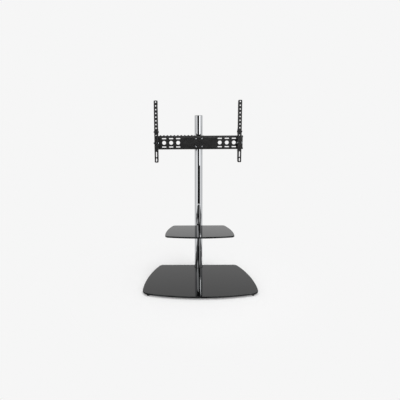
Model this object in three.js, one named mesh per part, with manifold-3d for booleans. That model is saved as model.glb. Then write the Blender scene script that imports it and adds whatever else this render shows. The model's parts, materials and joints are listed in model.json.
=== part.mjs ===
// A television stand: a glass base and a glass shelf on one chromed tube, with a pressed rail and two
// upright arms that carry the screen. Millimetres, +Z up, the front faces -Y. The origin is the middle
// of the footprint, at the floor.

import * as THREE from 'three';
import { mergeVertices } from 'three/addons/utils/BufferGeometryUtils.js';
import Module from 'manifold-3d';

const wasm = await Module();
wasm.setup();

// Clearances shared by every piece
const seatGap = 0.3;
const slideGap = 0.5;
const cutOverrun = 2;

// Facet counts
const tubeSteps = 60;
const clampSteps = 40;
const ringSteps = 32;
const holeSteps = 18;
const fastenerSteps = 8;
const cornerSteps = 3;
const slotEndSteps = 5;
const bendSteps = 2;
const outlineSteps = 12;
const polishSteps = 1;
const hexSides = 6;

// Base glass, in plan from the tube's axis
const baseWidth = 800;
const baseFrontReach = 490;
const baseBackReach = 36;
const baseWidestReach = 380;
const baseSideRadius = 914;
const baseFrontRadius = 1380;
const baseBackCornerRadius = 32;
const baseFrontCornerRadius = 60;
const baseGlassThickness = 12;
const glassEdgeRadius = 1.5;

// Rubber feet
const footHeight = 10;
const footRadius = 10;
const footTaper = 1.5;
const footInset = 4;
const frontFootAngle = -66 * Math.PI / 180;
const rearFootInset = 138;

// Pole and what holds it to the base
const tubeRadius = 30;
const tubeWall = 2;
const tubeTopHeight = 1207;
const footPlateWidth = 300;
const footPlateDepth = 150;
const footPlateThickness = 6;
const footPlateCorner = 22;
const footPlateBackInset = 8;
const footGasketThickness = 1;
const footRingThickness = 1.2;
const footRingRadius = 33;
const footPlugHeight = 34;
const footPlugThread = 31;
const footScrewCircle = 18;
const footScrewRadius = 4;
const footScrewHeadRadius = 8;
const footScrewLength = 38;
const glassHoleRadius = 6;
const topPlugHeight = 14;
const topPlugWall = 3;

// Cable holes at the back of the tube and their rings
const lowerCableHeight = 95;
const upperCableHeight = 650;
const cableHoleHalfWidth = 12;
const cableHoleLength = 50;
const grommetWall = 2;
const grommetLip = 3.5;
const grommetLipThickness = 1.4;

// Clamps on the tube
const clampSlot = 5;
const clampLugWidth = 9;
const clampLugReach = 55;
const clampLugCorner = 3;
const clampScrewRadius = 3;
const clampScrewHeadRadius = 5.5;
const clampScrewHeadHeight = 5;
const clampScrewBack = 8;

// Shelf
const shelfTopHeight = 376;
const shelfHalfWidth = 246;
const shelfFrontReach = 310;
const shelfBackReach = 46;
const shelfWidestReach = 262;
const shelfSideRadius = 460;
const shelfFrontRadius = 1250;
const shelfBackCornerRadius = 22;
const shelfFrontCornerRadius = 28;
const shelfGlassThickness = 12;
const shelfCollarWall = 6;
const shelfCollarHeight = 55;
const shelfCollarDrop = 14;
const shelfScrewSpread = 34;
const shelfPadHalfWidth = 22;
const shelfPadReach = 41;
const shelfPadHeight = 44;
const bracketThickness = 3;
const bracketBackHalfWidth = 30;
const bracketBackHeight = 48;
const bracketRearHalfWidth = 66;
const bracketFrontHalfWidth = 100;
const bracketLength = 160;
const bracketCorner = 14;
const gussetSpread = 26;
const gussetLength = 118;
const gussetDrop = 40;
const gussetNose = 6;
const bracketScrewSpread = 24;
const bracketScrewLength = 8;
const discRadius = 22;
const discThickness = 3.4;
const rearDiscReach = 78;
const frontDiscSpread = 72;
const frontDiscReach = 172;
const discScrewRadius = 2.5;
const discScrewHeadRadius = 4.8;
const discScrewHeadHeight = 3;

// Mount collar and swivel
const railHeight = 1014;
const linerWall = 1.4;
const mountCollarWall = 5;
const mountCollarHeight = 90;
const mountScrewSpread = 56;
const swivelReach = 54;
const bossRadius = 13;
const pinRadius = 6;
const pinHeadRadius = 10;
const pinHeadHeight = 5;
const pinNutRadius = 10.9;
const pinNutHeight = 8;
const pinTail = 3;
const washerThickness = 1.5;
const yokeThickness = 4;
const earThickness = 5;
const yokeHalfWidth = 34;
const yokeHalfHeight = 36;
const yokeCorner = 6;

// Rail
const railBackReach = 82.3;
const railThickness = 3;
const railHalfLength = 320;
const railHalfHeight = 50;
const railWebHalfHeight = 39;
const railLipRun = 11;
const railEndStep = 3;
const railHoleRadius = 13.9;
const railHoleFirst = 151;
const railHolePitch = 51;
const railHoleCount = 3;
const railSlotLength = 31.2;
const railSlotHeight = 7.6;
const railSlotOffset = 30.5;
const railBoltSpread = 21.4;
const railBoltRise = 29;
const railBoltRadius = 3;
const railBoltHeadRadius = 5.4;
const railBoltHeadHeight = 3.6;
const weldNutRadius = 5.8;
const weldNutHeight = 5;
const toothPitch = 25.3;
const toothCount = 11;
const lastToothReach = 52;
const toothHeight = 7.5;
const toothRoot = 4;
const toothCrestSteps = 6;
const toothSharpness = 1.5;

// Arms, with heights from the rail's middle
const leftArmReach = 307.6;
const rightArmReach = 291;
const armFrontReach = 118;
const armWidth = 28;
const armSheet = 2.5;
const armDepth = 22;
const armTop = 305;
const armBottom = -140;
const armCorner = 3;
const armEndDepth = 12;
const armEndTaper = 26;
const armHoleHalfWidth = 4;
const armHoleLength = 9.8;
const armHoleTop = 293.5;
const armHolePitch = 26.4;
const armHoleRows = [0, 1, 2, 3, 4, 5, 6, 7, 9, 11];
const armSlotHalfWidth = 3.6;
const armLongSlotTop = -58.5;
const armLongSlotBottom = -100.5;
const armShortSlotTop = -109;
const armShortSlotBottom = -132;

// Tilt parts of each arm
const pivotReach = 103;
const pivotRadius = 4;
const pivotHeadRadius = 6.6;
const pivotHeadHeight = 4.4;
const pivotNutRadius = 7.5;
const pivotNutHeight = 5;
const lockRise = 80.5;
const lockRadius = 3;
const lockHeadRadius = 7;
const lockHeadHeight = 4;
const lockNutRadius = 6.4;
const lockNutHeight = 3.4;
const boltTail = 2;
const boltHoleClearance = 0.4;
const tiltForward = 12.4 * Math.PI / 180;
const tiltBack = 3.4 * Math.PI / 180;
const earBottom = 64;
const earTop = 98;
const earReach = 77;
const earCorner = 5;
const slotArcSteps = 6;

// Hook brackets
const hookSheet = 2.5;
const hookHalfWidth = 11;
const hookTop = 64;
const hookTipBottom = 44;
const hookTipDepth = 5;
const hookNoseTop = 90;
const hookNoseFront = 105;
const hookNoseBack = 93;
const hookBellyReach = 112;
const hookBellyRise = 10;
const hookBottom = -66;
const hookBottomFront = 97;
const hookClawTop = -53;
const hookClawReach = 62;
const hookCorner = 3;
const hookWebHalfHeight = 36;
const safetyScrewReach = 68;
const safetyScrewRadius = 2.2;
const safetyScrewHeadRadius = 4.4;
const safetyScrewHeadHeight = 3;
const safetyScrewTip = -44;

// Places worked out from the sizes above
const baseTop = footHeight + baseGlassThickness;
const tubeBottom = baseTop + seatGap + footRingThickness + seatGap;
const tubeBore = tubeRadius - tubeWall;
const axisPlace = (baseFrontReach - clampLugReach) / 2;
const webFront = -(railBackReach + railThickness);
const lipRise = railHalfHeight - railWebHalfHeight;
const lipLength = Math.hypot(railLipRun, lipRise);
const lipBend = Math.atan2(railLipRun, lipRise);

function paint(color, roughness, metalness) {
  return new THREE.MeshStandardMaterial({ color, roughness, metalness });
}

const blackGlass = paint(0x17171a, 0.05, 0);
const chrome = paint(0xd8dadd, 0.08, 1);
const blackSteel = paint(0x1d1d1f, 0.5, 0.2);
const zinc = paint(0xb6b8ba, 0.35, 0.9);
const darkZinc = paint(0x3a3b3d, 0.4, 0.6);
const rubber = paint(0x111112, 0.85, 0);
const plastic = paint(0x161617, 0.5, 0);
const nylon = paint(0xd9d6cc, 0.6, 0);

// Points, outlines and solids

const point = (x, y) => new THREE.Vector2(x, y);

function arcPoints(centre, radius, from, to, steps) {
  return new THREE.EllipseCurve(centre.x, centre.y, radius, radius, from, to, to < from).getPoints(steps);
}

// A closed outline through corners given as [x, y, radius]; a corner with no radius stays sharp.
function roundedOutline(corners, steps = cornerSteps) {
  const outline = [];
  corners.forEach(([x, y, radius], index) => {
    const here = point(x, y);
    if (!radius) {
      outline.push(here);
      return;
    }
    const before = corners[(index + corners.length - 1) % corners.length];
    const after = corners[(index + 1) % corners.length];
    const backward = point(before[0], before[1]).sub(here).normalize();
    const forward = point(after[0], after[1]).sub(here).normalize();
    const halfAngle = Math.acos(backward.dot(forward)) / 2;
    const middle = backward.clone().add(forward).normalize().multiplyScalar(radius / Math.sin(halfAngle));
    const centre = here.clone().add(middle);
    const start = here.clone().addScaledVector(backward, radius / Math.tan(halfAngle)).sub(centre).angle();
    const end = here.clone().addScaledVector(forward, radius / Math.tan(halfAngle)).sub(centre).angle();
    const turn = Math.PI - 2 * halfAngle;
    const side = Math.sign(forward.cross(backward));
    const finish = Math.abs(start + side * turn - end) < 1e-6 ? end : start + side * turn;
    outline.push(...arcPoints(centre, radius, start, finish, steps));
  });
  return outline;
}

function box(x0, x1, y0, y1, radius = 0) {
  return roundedOutline([[x0, y0, radius], [x1, y0, radius], [x1, y1, radius], [x0, y1, radius]]);
}

function circle(x, y, radius, steps = holeSteps) {
  return arcPoints(point(x, y), radius, 0, 2 * Math.PI, steps).slice(0, -1);
}

// A slot with round ends, standing or lying, given by its half width and its whole length.
function stadium(x, y, halfWidth, length, steps = slotEndSteps) {
  const straight = length / 2 - halfWidth;
  const upper = arcPoints(point(x, y + straight), halfWidth, 0, Math.PI, steps);
  const lower = arcPoints(point(x, y - straight), halfWidth, Math.PI, 2 * Math.PI, steps);
  return [...upper, ...lower];
}

const turned = (outline) => outline.map((place) => point(place.y, place.x)).reverse();

function plate(outline, thickness, holes = [], edge = 0) {
  const shape = new THREE.Shape(outline);
  shape.holes = holes.map((hole) => new THREE.Path(hole));
  const geometry = new THREE.ExtrudeGeometry(shape, {
    depth: thickness - 2 * edge,
    bevelEnabled: edge > 0,
    bevelThickness: edge,
    bevelSize: edge,
    bevelOffset: -edge,
    bevelSegments: polishSteps,
  });
  return geometry.translate(0, 0, edge);
}

// A plate that lies flat: its outline is a plan, and it rises from its bottom.
function flat(outline, bottom, thickness, holes, edge) {
  return plate(outline, thickness, holes, edge).translate(0, 0, bottom);
}

// A plate that faces the front: its outline is in x and z, and it grows from its back towards -Y.
function facing(outline, back, thickness, holes) {
  return plate(outline, thickness, holes).rotateX(Math.PI / 2).translate(0, back, 0);
}

// A plate that stands sideways: its outline is in y and z, and it grows from its left along +X.
function sideways(outline, left, width, holes) {
  const turn = new THREE.Matrix4().makeBasis(
    new THREE.Vector3(0, 1, 0),
    new THREE.Vector3(0, 0, 1),
    new THREE.Vector3(1, 0, 0),
  );
  return plate(outline, width, holes).applyMatrix4(turn).translate(left, 0, 0);
}

function revolve(profile, steps) {
  const places = profile.map(([radius, height]) => point(radius, height));
  return new THREE.LatheGeometry(places, steps).rotateX(Math.PI / 2);
}

function solid(geometry) {
  const bare = geometry.clone();
  bare.deleteAttribute('normal');
  bare.deleteAttribute('uv');
  const merged = mergeVertices(bare, seatGap / 1000);
  return new wasm.Manifold(new wasm.Mesh({
    numProp: 3,
    vertProperties: new Float32Array(merged.attributes.position.array),
    triVerts: new Uint32Array(merged.index.array),
  }));
}

function join(geometries) {
  return geometries.map(solid).reduce((whole, piece) => whole.add(piece));
}

function carve(body, cutters) {
  const cut = body instanceof wasm.Manifold ? body : solid(body);
  return geometryOf(cut.subtract(join(cutters)));
}

function geometryOf(body) {
  const mesh = body.getMesh();
  const geometry = new THREE.BufferGeometry();
  geometry.setAttribute('position', new THREE.BufferAttribute(new Float32Array(mesh.vertProperties), 3));
  geometry.setIndex(new THREE.BufferAttribute(new Uint32Array(mesh.triVerts), 1));
  geometry.computeVertexNormals();
  return geometry;
}

// Round bars and fasteners

function rod(radius, length, steps = holeSteps) {
  return new THREE.CylinderGeometry(radius, radius, length, steps).rotateX(Math.PI / 2);
}

const alongX = (geometry) => geometry.rotateY(Math.PI / 2);
const alongY = (geometry) => geometry.rotateX(-Math.PI / 2);

// A screw along +Z whose head sits on z = 0 and whose shank goes down from it.
function screw(shankRadius, headRadius, headHeight, length) {
  const socket = headRadius / 2;
  return revolve([
    [0, -length],
    [shankRadius, -length],
    [shankRadius, 0],
    [headRadius, 0],
    [headRadius, headHeight],
    [socket, headHeight],
    [socket, headHeight / 2],
    [0, headHeight / 2],
  ], fastenerSteps);
}

function nut(acrossCorners, height, boreRadius, boreSteps = fastenerSteps) {
  return flat(circle(0, 0, acrossCorners, hexSides), 0, height, [circle(0, 0, boreRadius, boreSteps)]);
}

// The plan of a glass sheet: straight back, arched sides and a bowed front, all tangent to round corners.
function glassPlan(size) {
  const side = point(size.halfWidth - size.sideRadius, -size.widestReach);
  const front = point(0, size.frontRadius - size.frontReach);
  const backHeight = size.back - size.backCorner;
  const backRun = Math.sqrt((size.sideRadius - size.backCorner) ** 2 - (backHeight - side.y) ** 2);
  const back = point(side.x + backRun, backHeight);
  const sideReach = size.sideRadius - size.frontCorner;
  const frontReach = size.frontRadius - size.frontCorner;
  const apart = side.distanceTo(front);
  const along = (sideReach ** 2 - frontReach ** 2 + apart ** 2) / (2 * apart);
  const across = Math.sqrt(sideReach ** 2 - along ** 2);
  const direction = front.clone().sub(side).normalize();
  const outward = point(direction.y, -direction.x);
  const corner = side.clone().addScaledVector(direction, along).addScaledVector(outward, across);
  const frontTurn = Math.atan2(corner.y - front.y, corner.x - front.x);
  const sideTurn = Math.atan2(corner.y - side.y, corner.x - side.x);
  const backTurn = Math.atan2(back.y - side.y, back.x - side.x);
  const half = [
    ...arcPoints(front, size.frontRadius, -Math.PI / 2, frontTurn, outlineSteps / 2),
    ...arcPoints(corner, size.frontCorner, frontTurn, sideTurn, outlineSteps / 2).slice(1),
    ...arcPoints(side, size.sideRadius, sideTurn, backTurn, outlineSteps).slice(1),
    ...arcPoints(back, size.backCorner, backTurn, Math.PI / 2, outlineSteps / 2).slice(1),
  ];
  const mirrored = half.slice(1).reverse().map((place) => point(-place.x, place.y));
  return { outline: [...half, ...mirrored], corner, back };
}

// Base, feet and the pole's footing

const basePlan = glassPlan({
  halfWidth: baseWidth / 2,
  sideRadius: baseSideRadius,
  widestReach: baseWidestReach,
  frontReach: baseFrontReach,
  frontRadius: baseFrontRadius,
  frontCorner: baseFrontCornerRadius,
  back: baseBackReach,
  backCorner: baseBackCornerRadius,
});

const footScrewPlaces = ['front', 'rear_right', 'rear_left'].map((name, index) => {
  const angle = -Math.PI / 2 + index * 2 * Math.PI / 3;
  return { name, x: footScrewCircle * Math.cos(angle), y: footScrewCircle * Math.sin(angle) };
});
const footHoles = footScrewPlaces.map((place) => circle(place.x, place.y, glassHoleRadius, fastenerSteps));

function baseGlass() {
  return flat(basePlan.outline, footHeight, baseGlassThickness, footHoles, glassEdgeRadius);
}

function foot() {
  return revolve([
    [0, 0],
    [footRadius - footTaper, 0],
    [footRadius, footTaper],
    [footRadius, footHeight - seatGap],
    [0, footHeight - seatGap],
  ], holeSteps);
}

function footPlaces() {
  const swing = baseFrontCornerRadius - footRadius - footInset;
  const toFront = point(Math.cos(frontFootAngle), Math.sin(frontFootAngle));
  const front = basePlan.corner.clone().addScaledVector(toFront, swing);
  const rear = point(baseWidth / 2 - rearFootInset, baseBackReach - footRadius - footInset);
  return [
    ['base_foot_front_left', -front.x, front.y],
    ['base_foot_front_right', front.x, front.y],
    ['base_foot_rear_left', -rear.x, rear.y],
    ['base_foot_rear_right', rear.x, rear.y],
  ];
}

const footGasketTop = footHeight - seatGap;
const footPlateTop = footGasketTop - footGasketThickness - seatGap;
const footPlateBottom = footPlateTop - footPlateThickness;
const footPlateBack = baseBackReach - footPlateBackInset;
const footPlatePlan = box(
  -footPlateWidth / 2,
  footPlateWidth / 2,
  footPlateBack - footPlateDepth,
  footPlateBack,
  footPlateCorner,
);

// A cone that opens downwards, for a countersunk head.
function countersink(shankRadius, headRadius, top) {
  const bottom = footPlateBottom - cutOverrun;
  const rim = headRadius + cutOverrun;
  return revolve([
    [0, bottom],
    [rim, bottom],
    [shankRadius, footPlateBottom + headRadius - shankRadius],
    [shankRadius, top],
    [0, top],
  ], fastenerSteps);
}

function footPlate() {
  const shank = footScrewRadius + boltHoleClearance;
  const head = footScrewHeadRadius + boltHoleClearance;
  const cutter = countersink(shank, head, footPlateTop + cutOverrun);
  const cutters = footScrewPlaces.map((place) => cutter.clone().translate(place.x, place.y, 0));
  return carve(flat(footPlatePlan, footPlateBottom, footPlateThickness), cutters);
}

function footScrew() {
  const sunk = footPlateBottom + seatGap;
  return revolve([
    [0, sunk],
    [footScrewHeadRadius, sunk],
    [footScrewRadius, sunk + footScrewHeadRadius - footScrewRadius],
    [footScrewRadius, sunk + footScrewLength],
    [0, sunk + footScrewLength],
  ], fastenerSteps);
}

function footPlug() {
  const cutter = rod(footScrewRadius + seatGap, 2 * footPlugThread, fastenerSteps);
  const cutters = footScrewPlaces.map((place) => cutter.clone().translate(place.x, place.y, 0));
  const plug = rod(tubeBore - seatGap, footPlugHeight, ringSteps).translate(0, 0, footPlugHeight / 2);
  return carve(plug, cutters).translate(0, 0, baseTop + seatGap);
}

function footPlateGasket() {
  const bottom = footGasketTop - footGasketThickness;
  return flat(footPlatePlan, bottom, footGasketThickness, footHoles);
}

function footRing() {
  const bore = circle(0, 0, tubeBore, ringSteps);
  return flat(circle(0, 0, footRingRadius, ringSteps), baseTop + seatGap, footRingThickness, [bore]);
}

// Tube, cable holes and grommets

function cableCutter(halfWidth, length, height) {
  const depth = tubeRadius + cutOverrun + grommetLipThickness;
  return facing(stadium(0, height, halfWidth, length), depth, depth);
}

function poleTube() {
  const top = tubeTopHeight;
  const wall = revolve([
    [tubeBore, tubeBottom],
    [tubeRadius, tubeBottom],
    [tubeRadius, top],
    [tubeBore, top],
    [tubeBore, tubeBottom],
  ], tubeSteps);
  return carve(wall, [lowerCableHeight, upperCableHeight].map(
    (height) => cableCutter(cableHoleHalfWidth, cableHoleLength, height),
  ));
}

// An oval ring whose neck lines the hole in the tube's wall and whose lip lies on the outside of the tube.
function grommet(height) {
  const neckWidth = cableHoleHalfWidth - seatGap;
  const neckLength = cableHoleLength - 2 * seatGap;
  const shell = (inner, outer) => solid(revolve([
    [inner, height - cableHoleLength],
    [outer, height - cableHoleLength],
    [outer, height + cableHoleLength],
    [inner, height + cableHoleLength],
    [inner, height - cableHoleLength],
  ], tubeSteps));
  const lipBottom = tubeRadius + seatGap;
  const lipTop = lipBottom + grommetLipThickness;
  const neckBar = solid(cableCutter(neckWidth, neckLength, height));
  const lipBar = solid(cableCutter(neckWidth + grommetLip, neckLength + 2 * grommetLip, height));
  const neck = neckBar.intersect(shell(tubeBore - grommetWall, lipTop));
  const lip = lipBar.intersect(shell(lipBottom, lipTop));
  const opening = cableCutter(neckWidth - grommetWall, neckLength - 2 * grommetWall, height);
  return carve(neck.add(lip), [opening]);
}

function topPlug() {
  const radius = tubeBore - seatGap;
  return revolve([
    [0, -topPlugWall],
    [radius - topPlugWall, -topPlugWall],
    [radius - topPlugWall, -topPlugHeight],
    [radius, -topPlugHeight],
    [radius, -topPlugWall / 2],
    [radius - topPlugWall / 2, 0],
    [0, 0],
  ], ringSteps).translate(0, 0, tubeTopHeight);
}

// A split ring round the tube with two lugs at the back.
function clampPlan(bore, wall) {
  const outer = bore + wall;
  const half = clampSlot / 2;
  const lug = half + clampLugWidth;
  const boreAngle = Math.asin(half / bore);
  const lugAngle = Math.asin(lug / outer);
  const corner = clampLugCorner;
  return [
    ...arcPoints(point(0, 0), outer, Math.PI / 2 - lugAngle, -3 * Math.PI / 2 + lugAngle, clampSteps),
    point(-lug, clampLugReach - corner),
    point(-lug + corner, clampLugReach),
    point(-half, clampLugReach),
    ...arcPoints(point(0, 0), bore, Math.PI / 2 + boreAngle, 5 * Math.PI / 2 - boreAngle, clampSteps),
    point(half, clampLugReach),
    point(lug - corner, clampLugReach),
    point(lug, clampLugReach - corner),
  ];
}

const clampScrewPlace = clampLugReach - clampScrewBack;

function clampScrewHoles(heights) {
  const length = 2 * (clampSlot + clampLugWidth + cutOverrun);
  const hole = alongX(rod(clampScrewRadius + boltHoleClearance, length, fastenerSteps));
  return heights.map((height) => hole.clone().translate(0, clampScrewPlace, height));
}

// The plan of a block that grows out of a clamp: its front is given, its rear lies in the ring's wall.
function clampBlock(halfWidth, ringMiddle, front) {
  const angle = Math.asin(halfWidth / ringMiddle);
  const start = -Math.PI / 2 + angle;
  const rear = arcPoints(point(0, 0), ringMiddle, start, start - 2 * angle, cornerSteps);
  return [...front, ...rear];
}

// The screw passes the right lug and threads into the left one.
function clampScrew() {
  const head = clampSlot / 2 + clampLugWidth + seatGap;
  return alongX(screw(clampScrewRadius, clampScrewHeadRadius, clampScrewHeadHeight, 2 * head + boltTail))
    .translate(head, clampScrewPlace, 0);
}

// Shelf, with heights from the shelf glass's top

const shelfPlan = glassPlan({
  halfWidth: shelfHalfWidth,
  sideRadius: shelfSideRadius,
  widestReach: shelfWidestReach,
  frontReach: shelfFrontReach,
  frontRadius: shelfFrontRadius,
  frontCorner: shelfFrontCornerRadius,
  back: -shelfBackReach,
  backCorner: shelfBackCornerRadius,
});

const discTop = -shelfGlassThickness - seatGap;
const bracketTop = discTop - discThickness - seatGap;
const bracketBottom = bracketTop - bracketThickness;
const shelfCollarTop = -shelfGlassThickness - shelfCollarDrop;
const shelfCollarMiddle = shelfCollarTop - shelfCollarHeight / 2;
const shelfScrewHeights = [-1, 1].map((side) => shelfCollarMiddle + side * shelfScrewSpread / 2);
const bracketScrewHeights = [-1, 1].map((side) => shelfCollarMiddle + side * bracketScrewSpread / 2);
const discPlaces = [
  { name: 'rear', x: 0, y: -rearDiscReach },
  { name: 'front_left', x: -frontDiscSpread, y: -frontDiscReach },
  { name: 'front_right', x: frontDiscSpread, y: -frontDiscReach },
];
const shelfBore = tubeRadius + slideGap;

function shelfGlass() {
  return flat(shelfPlan.outline, -shelfGlassThickness, shelfGlassThickness, [], glassEdgeRadius);
}

function shelfCollar() {
  const plan = clampPlan(shelfBore, shelfCollarWall);
  const ring = flat(plan, shelfCollarTop - shelfCollarHeight, shelfCollarHeight);
  const padFront = [point(-shelfPadHalfWidth, -shelfPadReach), point(shelfPadHalfWidth, -shelfPadReach)];
  const padPlan = clampBlock(shelfPadHalfWidth, shelfBore + shelfCollarWall / 2, padFront);
  const pad = flat(padPlan, shelfCollarMiddle - shelfPadHeight / 2, shelfPadHeight);
  const thread = alongY(rod(clampScrewRadius + seatGap, shelfPadReach, fastenerSteps));
  const threads = bracketScrewHeights.map((height) => thread.clone().translate(0, -shelfPadReach, height));
  return carve(join([ring, pad]), [...threads, ...clampScrewHoles(shelfScrewHeights)]);
}

function shelfBracket() {
  const back = -(shelfPadReach + seatGap);
  const lower = shelfCollarMiddle - bracketBackHeight / 2;
  const middle = bracketTop - bracketThickness / 2;
  const discHoleRadius = discScrewRadius + boltHoleClearance;
  const discHoles = discPlaces.map((place) => circle(place.x, place.y, discHoleRadius, fastenerSteps));
  const tray = flat(roundedOutline([
    [-bracketRearHalfWidth, back],
    [-bracketFrontHalfWidth, back - bracketLength, bracketCorner],
    [bracketFrontHalfWidth, back - bracketLength, bracketCorner],
    [bracketRearHalfWidth, back],
  ]), bracketBottom, bracketThickness, discHoles);
  const backPlate = facing(roundedOutline([
    [-bracketBackHalfWidth, middle],
    [-bracketBackHalfWidth, lower, bracketThickness],
    [bracketBackHalfWidth, lower, bracketThickness],
    [bracketBackHalfWidth, middle],
  ]), back, bracketThickness);
  const gussetPlan = roundedOutline([
    [back - bracketThickness / 2, middle],
    [back - gussetLength, middle],
    [back - gussetLength, bracketBottom - gussetNose],
    [back - bracketThickness, bracketBottom - gussetDrop],
    [back - bracketThickness / 2, bracketBottom - gussetDrop],
  ]);
  const gussets = [-gussetSpread, gussetSpread - bracketThickness].map(
    (left) => sideways(gussetPlan, left, bracketThickness),
  );
  const hole = alongY(rod(clampScrewRadius + boltHoleClearance, 4 * bracketThickness, fastenerSteps));
  const holes = bracketScrewHeights.map((height) => hole.clone().translate(0, back, height));
  return carve(join([tray, backPlate, ...gussets]), holes);
}

function shelfBracketScrew() {
  const face = -(shelfPadReach + seatGap + bracketThickness + seatGap);
  const length = bracketScrewLength + bracketThickness;
  return screw(clampScrewRadius, clampScrewHeadRadius, clampScrewHeadHeight, length)
    .rotateX(Math.PI / 2).translate(0, face, 0);
}

function shelfDisc() {
  const hole = circle(0, 0, discScrewRadius + seatGap, fastenerSteps);
  return flat(circle(0, 0, discRadius), discTop - discThickness, discThickness, [hole]);
}

function shelfDiscScrew() {
  return screw(discScrewRadius, discScrewHeadRadius, discScrewHeadHeight, bracketThickness + discThickness)
    .rotateX(Math.PI).translate(0, 0, bracketBottom - seatGap);
}

// Mount collar and swivel, with heights from the rail's middle

const linerInner = tubeRadius + seatGap;
const linerOuter = linerInner + linerWall;
const mountBore = linerOuter + seatGap;
const mountScrewHeights = [-mountScrewSpread / 2, mountScrewSpread / 2];
const earBase = yokeHalfHeight - earThickness;
const bossHalfHeight = earBase - washerThickness - 2 * seatGap;
const washerBottoms = [-bossHalfHeight - seatGap - washerThickness, bossHalfHeight + seatGap];
const pinBore = pinRadius + seatGap;

function mountCollar() {
  const ring = flat(clampPlan(mountBore, mountCollarWall), -mountCollarHeight / 2, mountCollarHeight);
  const nose = arcPoints(point(0, -swivelReach), bossRadius, Math.PI, 2 * Math.PI, holeSteps / 2);
  const bossPlan = clampBlock(bossRadius, mountBore + mountCollarWall / 2, nose);
  const boss = flat(bossPlan, -bossHalfHeight, 2 * bossHalfHeight);
  const pinHole = rod(pinBore, 2 * mountCollarHeight).translate(0, -swivelReach, 0);
  return carve(join([ring, boss]), [pinHole, ...clampScrewHoles(mountScrewHeights)]);
}

function mountLiner() {
  const slit = Math.asin(clampSlot / 2 / linerInner);
  const from = Math.PI / 2 + slit;
  const to = 5 * Math.PI / 2 - slit;
  return flat([
    ...arcPoints(point(0, 0), linerOuter, from, to, clampSteps),
    ...arcPoints(point(0, 0), linerInner, to, from, clampSteps),
  ], -mountCollarHeight / 2, mountCollarHeight);
}

function swivelPin() {
  const top = yokeHalfHeight + seatGap;
  const tail = top + pinNutHeight + pinTail;
  return revolve([
    [0, -tail],
    [pinRadius, -tail],
    [pinRadius, top],
    [pinHeadRadius, top],
    [pinHeadRadius, top + pinHeadHeight],
    [0, top + pinHeadHeight],
  ], holeSteps).translate(0, -swivelReach, 0);
}

function swivelNut() {
  const bottom = -yokeHalfHeight - seatGap - pinNutHeight;
  return nut(pinNutRadius, pinNutHeight, pinBore, holeSteps).translate(0, -swivelReach, bottom);
}

function swivelWasher() {
  return flat(circle(0, 0, bossRadius - seatGap), 0, washerThickness, [circle(0, 0, pinBore)])
    .translate(0, -swivelReach, 0);
}

function swivelYoke() {
  const back = -(railBackReach - seatGap);
  const face = back + yokeThickness;
  const ear = [
    point(-bossRadius, face - yokeThickness / 2),
    point(bossRadius, face - yokeThickness / 2),
    ...arcPoints(point(0, -swivelReach), bossRadius, 0, Math.PI, holeSteps / 2),
  ];
  const plateOutline = box(-yokeHalfWidth, yokeHalfWidth, -yokeHalfHeight, yokeHalfHeight, yokeCorner);
  const ears = [-yokeHalfHeight, earBase].map((bottom) => flat(ear, bottom, earThickness));
  const pinHole = rod(pinBore, 3 * yokeHalfHeight).translate(0, -swivelReach, 0);
  const weldNuts = railBoltPlaces.map((place) => facing(
    circle(place.x, place.z, weldNutRadius, hexSides),
    face + weldNutHeight,
    weldNutHeight + yokeThickness / 2,
  ));
  const body = join([facing(plateOutline, face, yokeThickness), ...ears, ...weldNuts]);
  return carve(body, [pinHole, ...railBoltHoles()]);
}

// Rail, with heights from its middle

const railBoltPlaces = [
  { name: 'lower_left', x: -railBoltSpread, z: -railBoltRise },
  { name: 'upper_left', x: -railBoltSpread, z: railBoltRise },
  { name: 'lower_right', x: railBoltSpread, z: -railBoltRise },
  { name: 'upper_right', x: railBoltSpread, z: railBoltRise },
];

function railBoltHoles() {
  const hole = alongY(rod(railBoltRadius + boltHoleClearance, railBackReach / 2, fastenerSteps));
  return railBoltPlaces.map((place) => hole.clone().translate(place.x, -railBackReach, place.z));
}

function railSection() {
  const innerBend = railWebHalfHeight - railThickness * Math.tan(lipBend / 2);
  const lipEnd = point(webFront + railLipRun, railHalfHeight);
  const lipBack = lipEnd.clone().add(point(lipRise, -railLipRun).multiplyScalar(railThickness / lipLength));
  const upper = [
    [webFront, railWebHalfHeight, 2 * railThickness],
    [lipEnd.x, lipEnd.y],
    [lipBack.x, lipBack.y],
    [webFront + railThickness, innerBend, railThickness],
  ];
  const lower = upper.map(([y, z, radius]) => [y, -z, radius]).reverse();
  return roundedOutline([...upper, ...lower], bendSteps);
}

// The toothed edge stands on the top lip's left half, in the lip's own slope.
function railTeeth() {
  const start = -lastToothReach + toothPitch / 2;
  const outline = [point(start, -toothRoot), point(start, 0)];
  for (let step = 0; step < toothCount * toothCrestSteps; step += 1) {
    const share = step / toothCrestSteps;
    const crest = ((1 + Math.cos(2 * Math.PI * share)) / 2) ** toothSharpness;
    const place = -lastToothReach - share * toothPitch;
    if (place > -railHalfLength) {
      outline.push(point(place, toothHeight * crest));
    }
  }
  outline.push(point(-railHalfLength, 0), point(-railHalfLength, -toothRoot));
  const along = new THREE.Vector3(0, railLipRun / lipLength, lipRise / lipLength);
  const right = new THREE.Vector3(1, 0, 0);
  const lean = new THREE.Matrix4().makeBasis(right, along, right.clone().cross(along));
  const innerFace = point(lipRise, -railLipRun).multiplyScalar(railThickness / lipLength);
  return plate(outline, railThickness).applyMatrix4(lean)
    .translate(0, webFront + railLipRun + innerFace.x, railHalfHeight + innerFace.y);
}

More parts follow.
